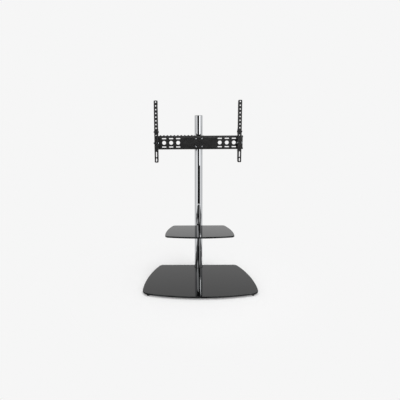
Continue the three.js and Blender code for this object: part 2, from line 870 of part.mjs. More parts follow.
function rail() {
  const cutters = [];
  const back = -railBackReach + cutOverrun;
  const depth = railThickness + 2 * cutOverrun;
  for (const side of [-1, 1]) {
    for (let hole = 0; hole < railHoleCount; hole += 1) {
      const place = side * (railHoleFirst + hole * railHolePitch);
      cutters.push(facing(circle(place, 0, railHoleRadius), back, depth));
      for (const level of [-railSlotOffset, railSlotOffset]) {
        const slot = turned(stadium(level, place, railSlotHeight / 2, railSlotLength, cornerSteps));
        cutters.push(facing(slot, back, depth));
      }
    }
    const end = side * railHalfLength;
    const step = box(end - railEndStep, end + railEndStep, -railWebHalfHeight, railWebHalfHeight);
    cutters.push(facing(step, back, depth));
  }
  const bar = sideways(railSection(), -railHalfLength, 2 * railHalfLength);
  return carve(join([bar, railTeeth()]), [...cutters, ...railBoltHoles()]);
}

function railBolt() {
  const length = railThickness + yokeThickness + weldNutHeight + 2 * seatGap + boltTail;
  return screw(railBoltRadius, railBoltHeadRadius, railBoltHeadHeight, length)
    .rotateX(Math.PI / 2).translate(0, webFront - seatGap, 0);
}

// Hook bracket, arm and their bolts, each about its own middle in x

function hookSide() {
  const rear = webFront - seatGap;
  const slope = lipRise / railLipRun;
  const lift = slideGap / Math.sin(lipBend);
  const lipLine = (y) => railWebHalfHeight + slope * (y - webFront) + lift;
  const tipFront = webFront + railLipRun + toothHeight + 1.5 * slideGap;
  const tipBack = tipFront + hookTipDepth;
  const clawLine = webFront + railLipRun + slideGap;
  return roundedOutline([
    [rear, -lipLine(rear)],
    [rear, lipLine(rear)],
    [tipFront, lipLine(tipFront)],
    [tipFront, hookTipBottom],
    [tipBack, hookTipBottom, hookCorner / 2],
    [tipBack, hookTop, hookCorner],
    [-hookNoseBack, hookTop, hookCorner],
    [-hookNoseBack, hookNoseTop, hookCorner],
    [-hookNoseFront, hookNoseTop, hookCorner],
    [-hookBellyReach, hookBellyRise, hookCorner],
    [-hookBellyReach, -hookBellyRise, hookCorner],
    [-hookBottomFront, hookBottom, hookCorner],
    [-hookClawReach, hookBottom, hookCorner],
    [-hookClawReach, hookClawTop],
    [clawLine, hookClawTop],
    [clawLine, -lipLine(clawLine)],
  ]);
}

function hookBracket() {
  const lefts = [-hookHalfWidth, hookHalfWidth - hookSheet];
  const sides = lefts.map((left) => sideways(hookSide(), left, hookSheet));
  const rear = webFront - seatGap;
  const webPlan = box(-hookHalfWidth, hookHalfWidth, -hookWebHalfHeight, hookWebHalfHeight);
  const web = facing(webPlan, rear, hookSheet);
  const tab = flat(box(-hookHalfWidth, hookHalfWidth, rear, -hookClawReach), hookBottom, hookSheet);
  const across = 4 * hookHalfWidth;
  const pivotHole = alongX(rod(pivotRadius + boltHoleClearance, across, fastenerSteps));
  const lockHole = alongX(rod(lockRadius + boltHoleClearance, across, fastenerSteps));
  const screwHole = rod(safetyScrewRadius + boltHoleClearance, 2 * hookHalfWidth, fastenerSteps);
  return carve(join([...sides, web, tab]), [
    pivotHole.translate(0, -pivotReach, 0),
    lockHole.translate(0, -pivotReach, lockRise),
    screwHole.translate(0, -safetyScrewReach, hookBottom),
  ]);
}

function safetyScrew() {
  const length = safetyScrewTip - hookBottom;
  return screw(safetyScrewRadius, safetyScrewHeadRadius, safetyScrewHeadHeight, length)
    .rotateX(Math.PI).translate(0, -safetyScrewReach, hookBottom - seatGap);
}

// The flange's side outline, with the ear that holds the curved tilt slot.
function armFlange() {
  const back = -armFrontReach + armDepth;
  const front = -armFrontReach + armSheet / 2;
  const endBack = -armFrontReach + armEndDepth;
  return roundedOutline([
    [front, armBottom],
    [endBack, armBottom, armCorner / 2],
    [back, armBottom + armEndTaper, armCorner],
    [back, earBottom - earCorner, earCorner],
    [-earReach, earBottom, earCorner],
    [-earReach, earTop, earCorner],
    [back, earTop + earCorner, earCorner],
    [back, armTop - armEndTaper, armCorner],
    [endBack, armTop, armCorner / 2],
    [front, armTop],
  ]);
}

function tiltSlot() {
  const pivot = point(-pivotReach, 0);
  const half = lockRadius + boltHoleClearance;
  const upright = Math.PI / 2;
  const back = upright - tiltForward;
  const front = upright + tiltBack;
  const endAt = (angle) => point(pivot.x + lockRise * Math.cos(angle), lockRise * Math.sin(angle));
  return [
    ...arcPoints(pivot, lockRise + half, back, front, slotArcSteps),
    ...arcPoints(endAt(front), half, front, front + Math.PI, cornerSteps).slice(1, -1),
    ...arcPoints(pivot, lockRise - half, front, back, slotArcSteps),
    ...arcPoints(endAt(back), half, back - Math.PI, back, cornerSteps).slice(1, -1),
  ];
}

function arm() {
  const half = armWidth / 2;
  const holes = armHoleRows.map((row) => {
    const height = armHoleTop - row * armHolePitch;
    return stadium(0, height, armHoleHalfWidth, armHoleLength, cornerSteps);
  });
  const slots = [[armLongSlotTop, armLongSlotBottom], [armShortSlotTop, armShortSlotBottom]].map(
    ([top, bottom]) => stadium(0, (top + bottom) / 2, armSlotHalfWidth, top - bottom, cornerSteps),
  );
  const face = box(-half, half, armBottom, armTop, armCorner);
  const web = facing(face, -armFrontReach + armSheet, armSheet, [...holes, ...slots]);
  const flangeHoles = [circle(-pivotReach, 0, pivotRadius + boltHoleClearance, fastenerSteps), tiltSlot()];
  const flanges = [-half, half - armSheet].map(
    (left) => sideways(armFlange(), left, armSheet, flangeHoles),
  );
  const trimmer = facing(face, 0, armFrontReach + cutOverrun);
  return geometryOf(join([web, ...flanges]).intersect(solid(trimmer)));
}

// A bolt across the arm, its head on the inner side; inward is +1 where that side is +X.
function crossBolt(radius, headRadius, headHeight, nutHeight, inward) {
  const face = armWidth / 2 + seatGap;
  return screw(radius, headRadius, headHeight, 2 * face + nutHeight + boltTail)
    .rotateY(inward * Math.PI / 2).translate(inward * face, -pivotReach, 0);
}

function pivotBolt(inward) {
  return crossBolt(pivotRadius, pivotHeadRadius, pivotHeadHeight, pivotNutHeight, inward);
}

function lockBolt(inward) {
  return crossBolt(lockRadius, lockHeadRadius, lockHeadHeight, lockNutHeight, inward);
}

function crossNut(radius, acrossCorners, nutHeight, inward) {
  const face = armWidth / 2 + seatGap;
  return nut(acrossCorners, nutHeight, radius + seatGap)
    .rotateY(-inward * Math.PI / 2).translate(-inward * face, -pivotReach, 0);
}

// The assembly

const stand = new THREE.Group();
stand.position.y = axisPlace;

function place(parent, name, geometry, material, x = 0, y = 0, z = 0) {
  const mesh = new THREE.Mesh(geometry, material);
  mesh.name = name;
  mesh.position.set(x, y, z);
  parent.add(mesh);
}

place(stand, 'base_glass', baseGlass(), blackGlass);
for (const [name, x, y] of footPlaces()) {
  place(stand, name, foot(), rubber, x, y);
}
place(stand, 'foot_plate', footPlate(), blackSteel);
place(stand, 'foot_plate_gasket', footPlateGasket(), rubber);
for (const spot of footScrewPlaces) {
  place(stand, `foot_screw_${spot.name}`, footScrew(), zinc, spot.x, spot.y);
}
place(stand, 'pole_foot_gasket', footRing(), rubber);
place(stand, 'pole_foot_plug', footPlug(), zinc);
place(stand, 'pole_tube', poleTube(), chrome);
place(stand, 'pole_top_plug', topPlug(), plastic);
place(stand, 'lower_cable_grommet', grommet(lowerCableHeight), plastic);
place(stand, 'upper_cable_grommet', grommet(upperCableHeight), plastic);

const shelf = new THREE.Group();
shelf.position.z = shelfTopHeight;
place(shelf, 'shelf_glass', shelfGlass(), blackGlass);
place(shelf, 'shelf_collar', shelfCollar(), blackSteel);
place(shelf, 'shelf_bracket', shelfBracket(), blackSteel);
['lower', 'upper'].forEach((level, index) => {
  place(shelf, `shelf_clamp_screw_${level}`, clampScrew(), darkZinc, 0, 0, shelfScrewHeights[index]);
  const height = bracketScrewHeights[index];
  place(shelf, `shelf_bracket_screw_${level}`, shelfBracketScrew(), darkZinc, 0, 0, height);
});
for (const spot of discPlaces) {
  place(shelf, `shelf_disc_${spot.name}`, shelfDisc(), zinc, spot.x, spot.y);
  place(shelf, `shelf_disc_screw_${spot.name}`, shelfDiscScrew(), darkZinc, spot.x, spot.y);
}
stand.add(shelf);

const mount = new THREE.Group();
mount.position.z = railHeight;
place(mount, 'mount_collar', mountCollar(), blackSteel);
place(mount, 'mount_liner', mountLiner(), nylon);
place(mount, 'swivel_pin', swivelPin(), zinc);
place(mount, 'swivel_pin_nut', swivelNut(), zinc);
['lower', 'upper'].forEach((level, index) => {
  place(mount, `mount_clamp_screw_${level}`, clampScrew(), darkZinc, 0, 0, mountScrewHeights[index]);
  place(mount, `swivel_washer_${level}`, swivelWasher(), nylon, 0, 0, washerBottoms[index]);
});
place(mount, 'swivel_yoke', swivelYoke(), blackSteel);
place(mount, 'rail', rail(), blackSteel);
for (const spot of railBoltPlaces) {
  place(mount, `rail_bolt_${spot.name}`, railBolt(), zinc, spot.x, 0, spot.z);
}

for (const [side, reach, inward] of [['left', -leftArmReach, 1], ['right', rightArmReach, -1]]) {
  const group = new THREE.Group();
  const pivotNut = crossNut(pivotRadius, pivotNutRadius, pivotNutHeight, inward);
  const lockNut = crossNut(lockRadius, lockNutRadius, lockNutHeight, inward);
  group.position.x = reach;
  place(group, `${side}_hook`, hookBracket(), blackSteel);
  place(group, `${side}_safety_screw`, safetyScrew(), darkZinc);
  place(group, `${side}_arm`, arm(), blackSteel);
  place(group, `${side}_pivot_bolt`, pivotBolt(inward), zinc);
  place(group, `${side}_pivot_nut`, pivotNut, zinc);
  place(group, `${side}_lock_bolt`, lockBolt(inward), darkZinc, 0, 0, lockRise);
  place(group, `${side}_lock_nut`, lockNut, darkZinc, 0, 0, lockRise);
  mount.add(group);
}
stand.add(mount);

const model = new THREE.Group();
model.add(stand);

export default model;
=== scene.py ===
# %% [markdown]
# # A television stand on one chromed tube
#
# The stand is a sheet of black glass on four rubber feet, one chromed steel tube, a second sheet of
# glass as a shelf, and a pressed steel rail that carries two upright arms for the screen. Its sizes,
# joints and places come from a packed construction model. This notebook gives every piece the surface
# that it has when you stand in front of it: bent edges, drilled heads, plated and coated skins.
#
# The construction model is loaded first and nothing in it is moved. A piece that needs a finer shape
# than its solid is made here and takes that solid's place.

# %% Load the construction model
import json
import math

import bmesh
import bpy
from mathutils import Matrix, Vector
from mathutils.geometry import tessellate_polygon

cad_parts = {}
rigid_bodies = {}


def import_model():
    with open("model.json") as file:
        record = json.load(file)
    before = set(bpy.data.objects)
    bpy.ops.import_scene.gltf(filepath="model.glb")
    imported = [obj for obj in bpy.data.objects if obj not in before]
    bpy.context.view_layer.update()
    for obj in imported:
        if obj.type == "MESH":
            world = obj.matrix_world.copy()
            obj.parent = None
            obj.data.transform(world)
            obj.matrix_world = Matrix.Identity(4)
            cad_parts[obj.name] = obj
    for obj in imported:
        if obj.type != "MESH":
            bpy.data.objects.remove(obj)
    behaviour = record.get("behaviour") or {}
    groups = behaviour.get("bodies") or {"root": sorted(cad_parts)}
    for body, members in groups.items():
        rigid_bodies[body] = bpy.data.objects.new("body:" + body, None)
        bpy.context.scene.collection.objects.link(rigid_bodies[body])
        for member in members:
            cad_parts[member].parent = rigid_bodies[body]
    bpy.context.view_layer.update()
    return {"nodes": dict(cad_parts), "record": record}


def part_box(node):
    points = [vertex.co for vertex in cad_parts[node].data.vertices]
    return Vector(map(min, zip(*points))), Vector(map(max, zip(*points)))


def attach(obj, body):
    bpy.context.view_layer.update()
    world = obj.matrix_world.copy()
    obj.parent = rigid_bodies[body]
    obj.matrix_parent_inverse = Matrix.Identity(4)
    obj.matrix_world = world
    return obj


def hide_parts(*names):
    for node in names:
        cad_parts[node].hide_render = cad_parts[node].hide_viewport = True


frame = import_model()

MM = 0.001
print("pieces in the construction model:", len(frame["nodes"]))

# %% [markdown]
# ## Who carries what
#
# Each solid belongs to a body, such as the stand, the shelf or an arm, and to a finish. Both are in the
# record that comes with the model, so they are looked up by the solid's name and never typed again.

# %% Bodies and finishes by solid
BODIES = frame["record"]["behaviour"]["bodies"]
BODY_OF = {node: body for body, nodes in BODIES.items() for node in nodes}
SLOT_OF = {part["node"]: part["material_slot"] for part in frame["record"]["subparts"]}


def middle(node):
    low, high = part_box(node)
    return (low + high) / 2


def size_of(node):
    low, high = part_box(node)
    return high - low


print("bodies:", sorted(BODIES))

# %% [markdown]
# ## The camera
#
# The picture was taken a little from the left and from above, with a lens that was shifted so that the
# stand sits in the middle. The place and the three small turns were worked out from the outlines of the
# glass sheets, the tube and the rail, which have to agree with one another.

# %% Camera
CAMERA_PLACE = Vector((-92.5, -2782.5, 1336)) * MM
CAMERA_YAW = math.radians(0.8)
CAMERA_PITCH = math.radians(10)
CAMERA_ROLL = math.radians(-0.45)

lens = bpy.data.cameras.new("studio_camera")
lens.lens = 36.24
lens.sensor_width = 36
lens.shift_x = 0.048
lens.shift_y = -0.078
camera = bpy.data.objects.new("studio_camera", lens)
camera.matrix_world = (
    Matrix.Translation(CAMERA_PLACE)
    @ Matrix.Rotation(CAMERA_YAW, 4, "Z")
    @ Matrix.Rotation(math.pi / 2 - CAMERA_PITCH, 4, "X")
    @ Matrix.Rotation(CAMERA_ROLL, 4, "Z")
)
bpy.context.scene.collection.objects.link(camera)
bpy.context.scene.camera = camera
bpy.context.scene.view_settings.view_transform = "Standard"
print("the camera stands", round(CAMERA_PLACE.length, 2), "m from the middle of the footprint")

# %% [markdown]
# ## Colours and nodes
#
# Colours are written as a painter reads them, in sRGB hex, and one function turns them into the linear
# values that the renderer adds and multiplies. A second small function adds a node with its settings
# and its links, whatever its kind, which keeps every material below short enough to read in one look.

# %% Colours
def linear(code):
    parts = [int(code[place:place + 2], 16) / 255 for place in (1, 3, 5)]
    bent = [part / 12.92 if part <= 0.04045 else ((part + 0.055) / 1.055) ** 2.4 for part in parts]
    return (*bent, 1)


def grey(tone):
    return (tone, tone, tone, 1)


print("middle grey in linear light:", round(linear("#808080")[0], 3))

# %% Adding a node
def add(tree, kind, links=None, stops=(), **settings):
    """A link starts at an output, or at a node's first output. Stops are those of a colour ramp."""
    node = tree.nodes.new(kind)
    for name, value in settings.items():
        if hasattr(node, name):
            setattr(node, name, value)
        else:
            node.inputs[name.replace("_", " ")].default_value = value
    for index, (place, colour) in enumerate(stops):
        ramp = node.color_ramp.elements
        stop = ramp[index] if index < 2 else ramp.new(place)
        stop.position = place
        stop.color = colour
    for name, source in (links or {}).items():
        tree.links.new(getattr(source, "outputs", [source])[0], node.inputs[name])
    return node


def start_material(name):
    material = bpy.data.materials.new(name)
    material.use_nodes = True
    material.node_tree.nodes.clear()
    return material, material.node_tree


def finish_material(tree, shader):
    add(tree, "ShaderNodeOutputMaterial", {"Surface": shader})


print("materials so far:", len(bpy.data.materials))

# %% [markdown]
# ## The studio floor and the air around it
#
# The stand was photographed on seamless white paper, so floor and background have one even tone. Near
# the stand most of that tone is paper lit by the lamps, which takes the stand's soft shadow; the rest is
# the plain tone, as on a floor that glows a little with all the light in the room. Between 0.3 and 0.95
# m out it turns all plain, so no edge or horizon shows. For mirrors the paper has painted tones instead,
# a painted reflection that is darkest at the sides and runs from behind the tube (0) round to the front
# (1).

# %% Paper that the camera sees
PAPER = "#F6F6F6"
LIT_PAPER = "#F2F2F2"
PAPER_NEAR = 0.3
PAPER_FAR = 0.95
PAPER_PLAIN_SHARE = 0.22


def ray_kinds(tree):
    """Is the ray the camera's own, and does it come from a mirror or through glass: 1 or 0 each."""
    path = add(tree, "ShaderNodeLightPath")
    from_mirror = add(tree, "ShaderNodeMath", {0: path.outputs["Is Glossy Ray"],
                                               1: path.outputs["Is Transmission Ray"]},
                      operation="MAXIMUM")
    return path.outputs["Is Camera Ray"], from_mirror


paper, tree = start_material("seamless_paper")
from_camera, from_mirror = ray_kinds(tree)
place = add(tree, "ShaderNodeTexCoord").outputs["Object"]
reach = add(tree, "ShaderNodeVectorMath", {0: place}, operation="LENGTH").outputs["Value"]
fade = add(tree, "ShaderNodeMapRange", {"Value": reach}, interpolation_type="SMOOTHSTEP",
           From_Min=PAPER_NEAR, From_Max=PAPER_FAR, To_Min=PAPER_PLAIN_SHARE)
plain_share = add(tree, "ShaderNodeMath", {0: from_camera, 1: fade}, operation="MULTIPLY")
lit = add(tree, "ShaderNodeBsdfDiffuse", Color=linear(LIT_PAPER))
plain = add(tree, "ShaderNodeEmission", Color=linear(PAPER))
seen = add(tree, "ShaderNodeMixShader", {0: plain_share, 1: lit, 2: plain})
print("paper tone in linear light:", round(linear(PAPER)[0], 3))

# %% Paper that mirrors see
MIRROR_POINT = Vector((0, middle("pole_tube").y - size_of("pole_tube").y / 2, 0))
# Painted reflection: the paper's tone for mirrors, set by its heading from the tube.
PAPER_IN_MIRRORS = ((0.0, 0.75), (0.25, 0.66), (0.45, 0.6), (0.6, 0.7), (0.75, 0.88), (1.0, 0.9))

from_tube = add(tree, "ShaderNodeVectorMath", {0: place}, operation="SUBTRACT")
from_tube.inputs[1].default_value = MIRROR_POINT
heading = add(tree, "ShaderNodeVectorMath", {0: from_tube}, operation="NORMALIZE")
backward = add(tree, "ShaderNodeSeparateXYZ", {"Vector": heading}).outputs["Y"]
ahead = add(tree, "ShaderNodeMapRange", {"Value": backward}, From_Min=1, From_Max=-1)
tones = add(tree, "ShaderNodeValToRGB", {"Fac": ahead},
            [(turn, grey(tone)) for turn, tone in PAPER_IN_MIRRORS])
mirrored = add(tree, "ShaderNodeEmission", {"Color": tones})
finish_material(tree, add(tree, "ShaderNodeMixShader", {0: from_mirror, 1: seen, 2: mirrored}))
print("nodes in the paper:", len(tree.nodes))

# %% Floor
FLOOR_HALF_WIDTH = 40


def stage_panel(name, corners, material):
    """A flat sheet that belongs to the studio and not to the stand."""
    mesh = bpy.data.meshes.new(name)
    mesh.from_pydata([tuple(corner) for corner in corners], [], [tuple(range(len(corners)))])
    mesh.materials.append(material)
    panel = bpy.data.objects.new(name, mesh)
    bpy.context.scene.collection.objects.link(panel)
    return panel


stage_panel("studio_floor", [(x * FLOOR_HALF_WIDTH, y * FLOOR_HALF_WIDTH, 0)
                             for x, y in ((-1, -1), (1, -1), (1, 1), (-1, 1))], paper)
print("the floor is", 2 * FLOOR_HALF_WIDTH, "m wide")

# %% [markdown]
# ## What the chrome and the glass see
#
# Black glass and chrome have almost no colour of their own: they show the room. The tube's stripes and
# the two tones of the glass are painted reflections of a pale room: its black flags, white strips,
# window, dim walls and soft boxes round the stand are sheets that glow, or stay black, for mirrors alone
# and light nothing. A photographer would move real sheets about until the stripes sit right, and so were
# these placed. The room has one tone in front and, behind the stand, tones that run from the horizon (0)
# to straight up (1). No stop of a colour ramp may be over 1, so each tone is stored as its share of the
# brightest one, and the shader multiplies it back.

# %% Room tones
ROOM_FILL = 0.76
ROOM_BEHIND = ((0.0, 1.0), (0.26, 1.12), (0.31, 1.19), (0.335, 1.07), (0.397, 0.84), (0.463, 0.76),
               (0.62, 0.55), (0.77, 0.12), (1.0, 0.08))
ROOM_IN_FRONT = 0.63
BRIGHTEST = 1.2
BEHIND_FROM, BEHIND_TO = 0.8, 0.92

world = bpy.data.worlds.new("studio_room")
world.use_nodes = True
tree = world.node_tree
tree.nodes.clear()
from_camera, from_mirror = ray_kinds(tree)
towards = add(tree, "ShaderNodeTexCoord").outputs["Generated"]
parts = add(tree, "ShaderNodeSeparateXYZ", {"Vector": towards})
by_height = add(tree, "ShaderNodeValToRGB", {"Fac": parts.outputs["Z"]},
                [(height, grey(tone / BRIGHTEST)) for height, tone in ROOM_BEHIND])
behind = add(tree, "ShaderNodeMapRange", {"Value": parts.outputs["Y"]}, interpolation_type="SMOOTHSTEP",
             From_Min=BEHIND_FROM, From_Max=BEHIND_TO)
tone = add(tree, "ShaderNodeMixRGB", {"Fac": behind, "Color2": by_height},
           Color1=grey(ROOM_IN_FRONT / BRIGHTEST))
seen = add(tree, "ShaderNodeBackground", Color=linear(PAPER))
fill = add(tree, "ShaderNodeBackground", Strength=ROOM_FILL)
mirrored = add(tree, "ShaderNodeBackground", {"Color": tone}, Strength=BRIGHTEST)
room = add(tree, "ShaderNodeMixShader", {0: from_mirror, 1: fill, 2: mirrored})
room = add(tree, "ShaderNodeMixShader", {0: from_camera, 1: room, 2: seen})
add(tree, "ShaderNodeOutputWorld", {"Surface": room})
bpy.context.scene.world = world
print("room tones behind the stand:", len(ROOM_BEHIND))

# %% [markdown]
# ### Flags, strips and soft boxes
#
# Each sheet is placed as seen from the tube: a turn in degrees from straight ahead towards the right, a
# distance and a height in millimetres. Only reflections see them, so they throw no shadow and add no
# light to the paper. What the camera sees in the bare tube lies low, because it looks down on it; what
# it sees of the tube in the glass comes from above the height of 1.3 m. A sheet's row in the table gives
# its name, its strength, and the two turns and the height of its lower and of its upper edge.

# %% A sheet that only mirrors see
def glow(name, strength):
    material, tree = start_material(name)
    finish_material(tree, add(tree, "ShaderNodeEmission", Strength=strength))
    return material


def round_place(turn, distance, height):
    angle = math.radians(turn)
    return MIRROR_POINT + Vector((math.sin(angle) * distance, -math.cos(angle) * distance, height)) * MM


def mirror_only(name, strength, corners):
    """Corners are turn, distance and height."""
    # Each sheet is a painted reflection: it glows, or stays black, for mirrors alone and lights nothing.
    panel = stage_panel(name, [round_place(*corner) for corner in corners], glow(name, strength))
    panel.visible_camera = False
    panel.visible_diffuse = False
    panel.visible_shadow = False
    panel.visible_transmission = False
    panel.visible_volume_scatter = False


print("the sheets stand round the place", [round(c, 3) for c in MIRROR_POINT])

# %% Upright sheets and arcs on the floor
ROOM_DEPTH = 3200
SOFT_BOX_DEPTH = 2910
HIGH_LIGHT_DEPTH = 2890
WALL_DEPTH = 2000


def upright_panel(name, strength, bottom, top, distance=ROOM_DEPTH):
    """bottom and top are (from_turn, to_turn, height)."""
    mirror_only(name, strength, [
        (bottom[0], distance, bottom[2]), (bottom[1], distance, bottom[2]),
        (top[1], distance, top[2]), (top[0], distance, top[2]),
    ])


def around(from_turn, to_turn, distance, height):
    """Corners along an arc about the tube, no more than 15 degrees apart."""
    steps = math.ceil(abs(to_turn - from_turn) / 15)
    return [(from_turn + (to_turn - from_turn) * step / steps, distance, height)
            for step in range(steps + 1)]


print("the far sheets stand", ROOM_DEPTH * MM, "m from the tube")

# %% Sheets in front and at the sides
FLAG_MIDDLE = ((-26, 5), (16, 5), (16, 1490), (-10, 1490), (-14, 1290), (-37, 1290), (-37, 1100),
               (-25, 316))
mirror_only("flag_middle", 0, [(turn, ROOM_DEPTH, height) for turn, height in FLAG_MIDDLE])
for panel in (
    ("strip_left_low", 0.89, (-44, -26, 5), (-44, -25, 316)),
    ("flag_low_right", 0, (16, 40, 5), (16, 40, 310)),
    ("strip_right_low", 1.25, (16, 43, 311), (16, 43, 550)),
    ("strip_right", 1.6, (16, 42, 551), (16, 42, 1350)),
    ("wall_left_low", 0.15, (-100, -50, 705), (-100, -50, 880), WALL_DEPTH),
    ("wall_left_high", 0.45, (-100, -50, 1500), (-100, -50, 2600)),
    ("window_left", 1.75, (-48, -17, 1300), (0, 22, 2600)),
    ("flag_right_high", 0, (6, 44, 1351), (22, 44, 3000)),
    ("soft_box_right", 4.3, (44, 78, 1442), (44, 78, 3000), SOFT_BOX_DEPTH),
    ("high_light_right", 5, (12, 66, 1950), (12, 66, 3200), HIGH_LIGHT_DEPTH),
    ("wall_right_high", 0.1, (79, 148, 1400), (79, 148, 2600)),
):
    upright_panel(*panel)
print("the soft box stands", SOFT_BOX_DEPTH * MM, "m from the tube")

# %% [markdown]
# ### Dark sheets on the floor
#
# The dark lens shapes in the lower half of the tube are painted reflections: dark sheets on the floor in
# front of it that only mirrors see, and one brighter sheet paints a glint. The pieces lie a millimetre
# apart in height, so that the upper one wins where two overlap. Each has a height, and a start and an
# end that are distances from the tube.

# %% Dark sheets on the floor
DARK_REFLECTION_HEIGHT, DARK_REFLECTION_START, DARK_REFLECTION_END = 3, 450, 1982
FAR_DARK_REFLECTION_HEIGHT, FAR_DARK_REFLECTION_START, FAR_DARK_REFLECTION_END = 4, 2012, ROOM_DEPTH * 1.05
CORE_HEIGHT, CORE_START = 5, 480
DARK_REFLECTION_RIGHT = ((86, 300), (125, 300), (120, 450), (112, 510), (98, 563), (84, 620), (72, 684), (63, 790),
               (40, 1000), (40, 1300), (90, 1450), (90, 1560), (76, 1620), (64, 1730), (52, 1860))
DARK_REFLECTION_LEFT = ((-38, 1930), (-46, 1780), (-60, 1635), (-78, 1560), (-70, 1450), (-38, 1300), (-40, 1000),
              (-44, 790), (-48, 690), (-56, 630), (-64, 563), (-74, 510))
# Sheets that only mirrors see: the dark ones paint dark shapes into the tube's reflection, and
# floor_glint paints a glint.
mirror_only("dark_reflection_sheet_far", 0, around(-29, 40, FAR_DARK_REFLECTION_START, FAR_DARK_REFLECTION_HEIGHT)
            + around(40, -25, FAR_DARK_REFLECTION_END, FAR_DARK_REFLECTION_HEIGHT))
mirror_only("dark_reflection_sheet_near", 0.12, around(-80, 80, DARK_REFLECTION_START, DARK_REFLECTION_HEIGHT)
            + [(turn, distance, DARK_REFLECTION_HEIGHT) for turn, distance in DARK_REFLECTION_RIGHT]
            + around(44, -20, DARK_REFLECTION_END, DARK_REFLECTION_HEIGHT)
            + [(turn, distance, DARK_REFLECTION_HEIGHT) for turn, distance in DARK_REFLECTION_LEFT])
for name, strength, left, right in (("flag_floor_core", 0.01, -14, 15), ("floor_glint", 0.35, 17, 42)):
    mirror_only(name, strength, [(left, CORE_START, CORE_HEIGHT), (right, CORE_START, CORE_HEIGHT),
                                 *around(right, left, DARK_REFLECTION_END, CORE_HEIGHT)])

# %% [markdown]
# ## The lamps
#
# One big soft light hangs over the stand and gives the black pieces their grey upper edges and the
# paper its faint shadow. A second, smaller one stands front right. Neither shows in the chrome: what
# the chrome sees is set above.

# %% Lamps
def soft_lamp(name, width, watts, place, aim):
    data = bpy.data.lights.new(name, "AREA")
    data.shape = "SQUARE"
    data.size = width
    data.energy = watts
    lamp = bpy.data.objects.new(name, data)
    lamp.location = place
    lamp.rotation_euler = (Vector(aim) - Vector(place)).to_track_quat("-Z", "Y").to_euler()
    lamp.visible_glossy = False
    bpy.context.scene.collection.objects.link(lamp)


soft_lamp("overhead_light", width=3.4, watts=58, place=(0, 0.2, 3.5), aim=(0, 0.1, 0))
soft_lamp("front_right_light", width=1.6, watts=28, place=(1.4, -1.8, 3.8), aim=(0, 0, 0.3))

# %% [markdown]
# ## Finishes
#
# Eight finishes cover the whole stand. Each one starts from what the real surface is and how it was
# made, because that decides what the eye sees: how sharp its reflections are, how far the light
# spreads, and at what size its grain or its waviness lies. A pattern's scale is written in millimetres
# and one function turns it into the scale that a texture node expects.
#
# No real skin is even. So colour and roughness drift together, after one pattern, and on all but the
# chrome a second pattern stands proud of the surface as its relief.

# %% The skin of a finish
NOISE_LOW, NOISE_HIGH = 0.3, 0.7


def per_mm(size):
    """The texture scale at which one feature is about this many millimetres wide."""
    return 1 / (size * MM)


def skin(tree, drift, tones, roughness, relief=None, depth=0, **settings):
    """Tones and roughness are (low, high) pairs, and depth is in millimetres."""
    links = {
        "Base Color": add(tree, "ShaderNodeValToRGB", {"Fac": drift},
                          [(NOISE_LOW, linear(tones[0])), (NOISE_HIGH, linear(tones[1]))]),
        "Roughness": add(tree, "ShaderNodeMapRange", {"Value": drift}, From_Min=NOISE_LOW,
                         From_Max=NOISE_HIGH, To_Min=roughness[0], To_Max=roughness[1]),
    }
    if relief:
        links["Normal"] = add(tree, "ShaderNodeBump", {"Height": relief}, Distance=depth * MM)
    finish_material(tree, add(tree, "ShaderNodeBsdfPrincipled", links, **settings))


print("a grain of 0.5 mm has the texture scale", round(per_mm(0.5)))

# %% [markdown]
# ### Black tempered glass
#
# The glass is tinted black in the melt, then heated and chilled so that it is safe to lean on. Its faces
# are as smooth as still water, so the room shows in them at a few per cent of its brightness, and the
# more the flatter you look. The rollers of the oven leave waves 140 mm apart and two hundredths of a
# millimetre deep, which is why a straight line wavers in it. A thin film from hands and cloths makes the
# shine drift in patches of 70 mm. The rim is ground by a wheel: it has no waves, is duller, and scatters
# light as a dark grey; its grey is also made lighter as a painted highlight along the arris.

# %% Black glass
def black_glass(name, tones, roughness, wave_depth):
    material, tree = start_material(name)
    place = add(tree, "ShaderNodeTexCoord").outputs["Object"]
    film = add(tree, "ShaderNodeTexNoise", {"Vector": place}, Scale=per_mm(70), Detail=4)
    waves = add(tree, "ShaderNodeTexNoise", {"Vector": place}, Scale=per_mm(140), Detail=1)
    skin(tree, film, tones, roughness, waves, wave_depth, IOR=1.52)
    return material


GLASS_FACE = black_glass("black_tempered_glass", ("#060607", "#0B0B0D"), (0.012, 0.035), wave_depth=0.02)
# The rim's grey is partly the ground edge and partly a painted highlight along the arris.
GLASS_RIM = black_glass("ground_rim_and_painted_highlight", ("#343637", "#0B0B0D"), (0.12, 0.22), wave_depth=0)
print("made:", GLASS_FACE.name, "and", GLASS_RIM.name)

# %% [markdown]
# ### Chrome plate
#
# The steel tube is belt-polished along its length, nickel-plated and chromed. Chrome is a metal mirror,
# a touch cool, that gives back about two thirds of the light; matched to the photograph, this one gives
# back three quarters. The belt leaves lines along the tube, a tenth of a millimetre wide, that only
# soften the reflection a little, so they drive the roughness and not the shape. They are drawn 0.6 mm
# wide, because finer ones would show in no view.

# %% Chrome
LINE_WIDTH = 0.6
LINE_STRETCH = 100


def chrome_plate():
    material, tree = start_material("chrome_plated_steel")
    place = add(tree, "ShaderNodeTexCoord").outputs["Object"]
    drawn_out = add(tree, "ShaderNodeMapping", {"Vector": place}, Scale=(1, 1, 1 / LINE_STRETCH))
    lines = add(tree, "ShaderNodeTexNoise", {"Vector": drawn_out}, Scale=per_mm(LINE_WIDTH), Detail=3)
    skin(tree, lines, ("#DADCDF", "#E2E4E6"), (0.008, 0.03), Metallic=1)
    return material


CHROME = chrome_plate()
print("made:", CHROME.name)

# %% [markdown]
# ### Powder-coated steel
#
# The pressed parts are sprayed with dry black powder and baked. The powder melts into a skin with the
# faint dimples of an orange's peel, about 0.8 mm apart, so a lamp's reflection breaks into a broad,
# half-matt sheen. Two noises make it: the dimples, and a much finer grain from the powder itself. From
# as far off as the camera both are too fine to see, so a third one, drawn 25 mm coarse, lets the tone
# and the sheen drift a little over each part.

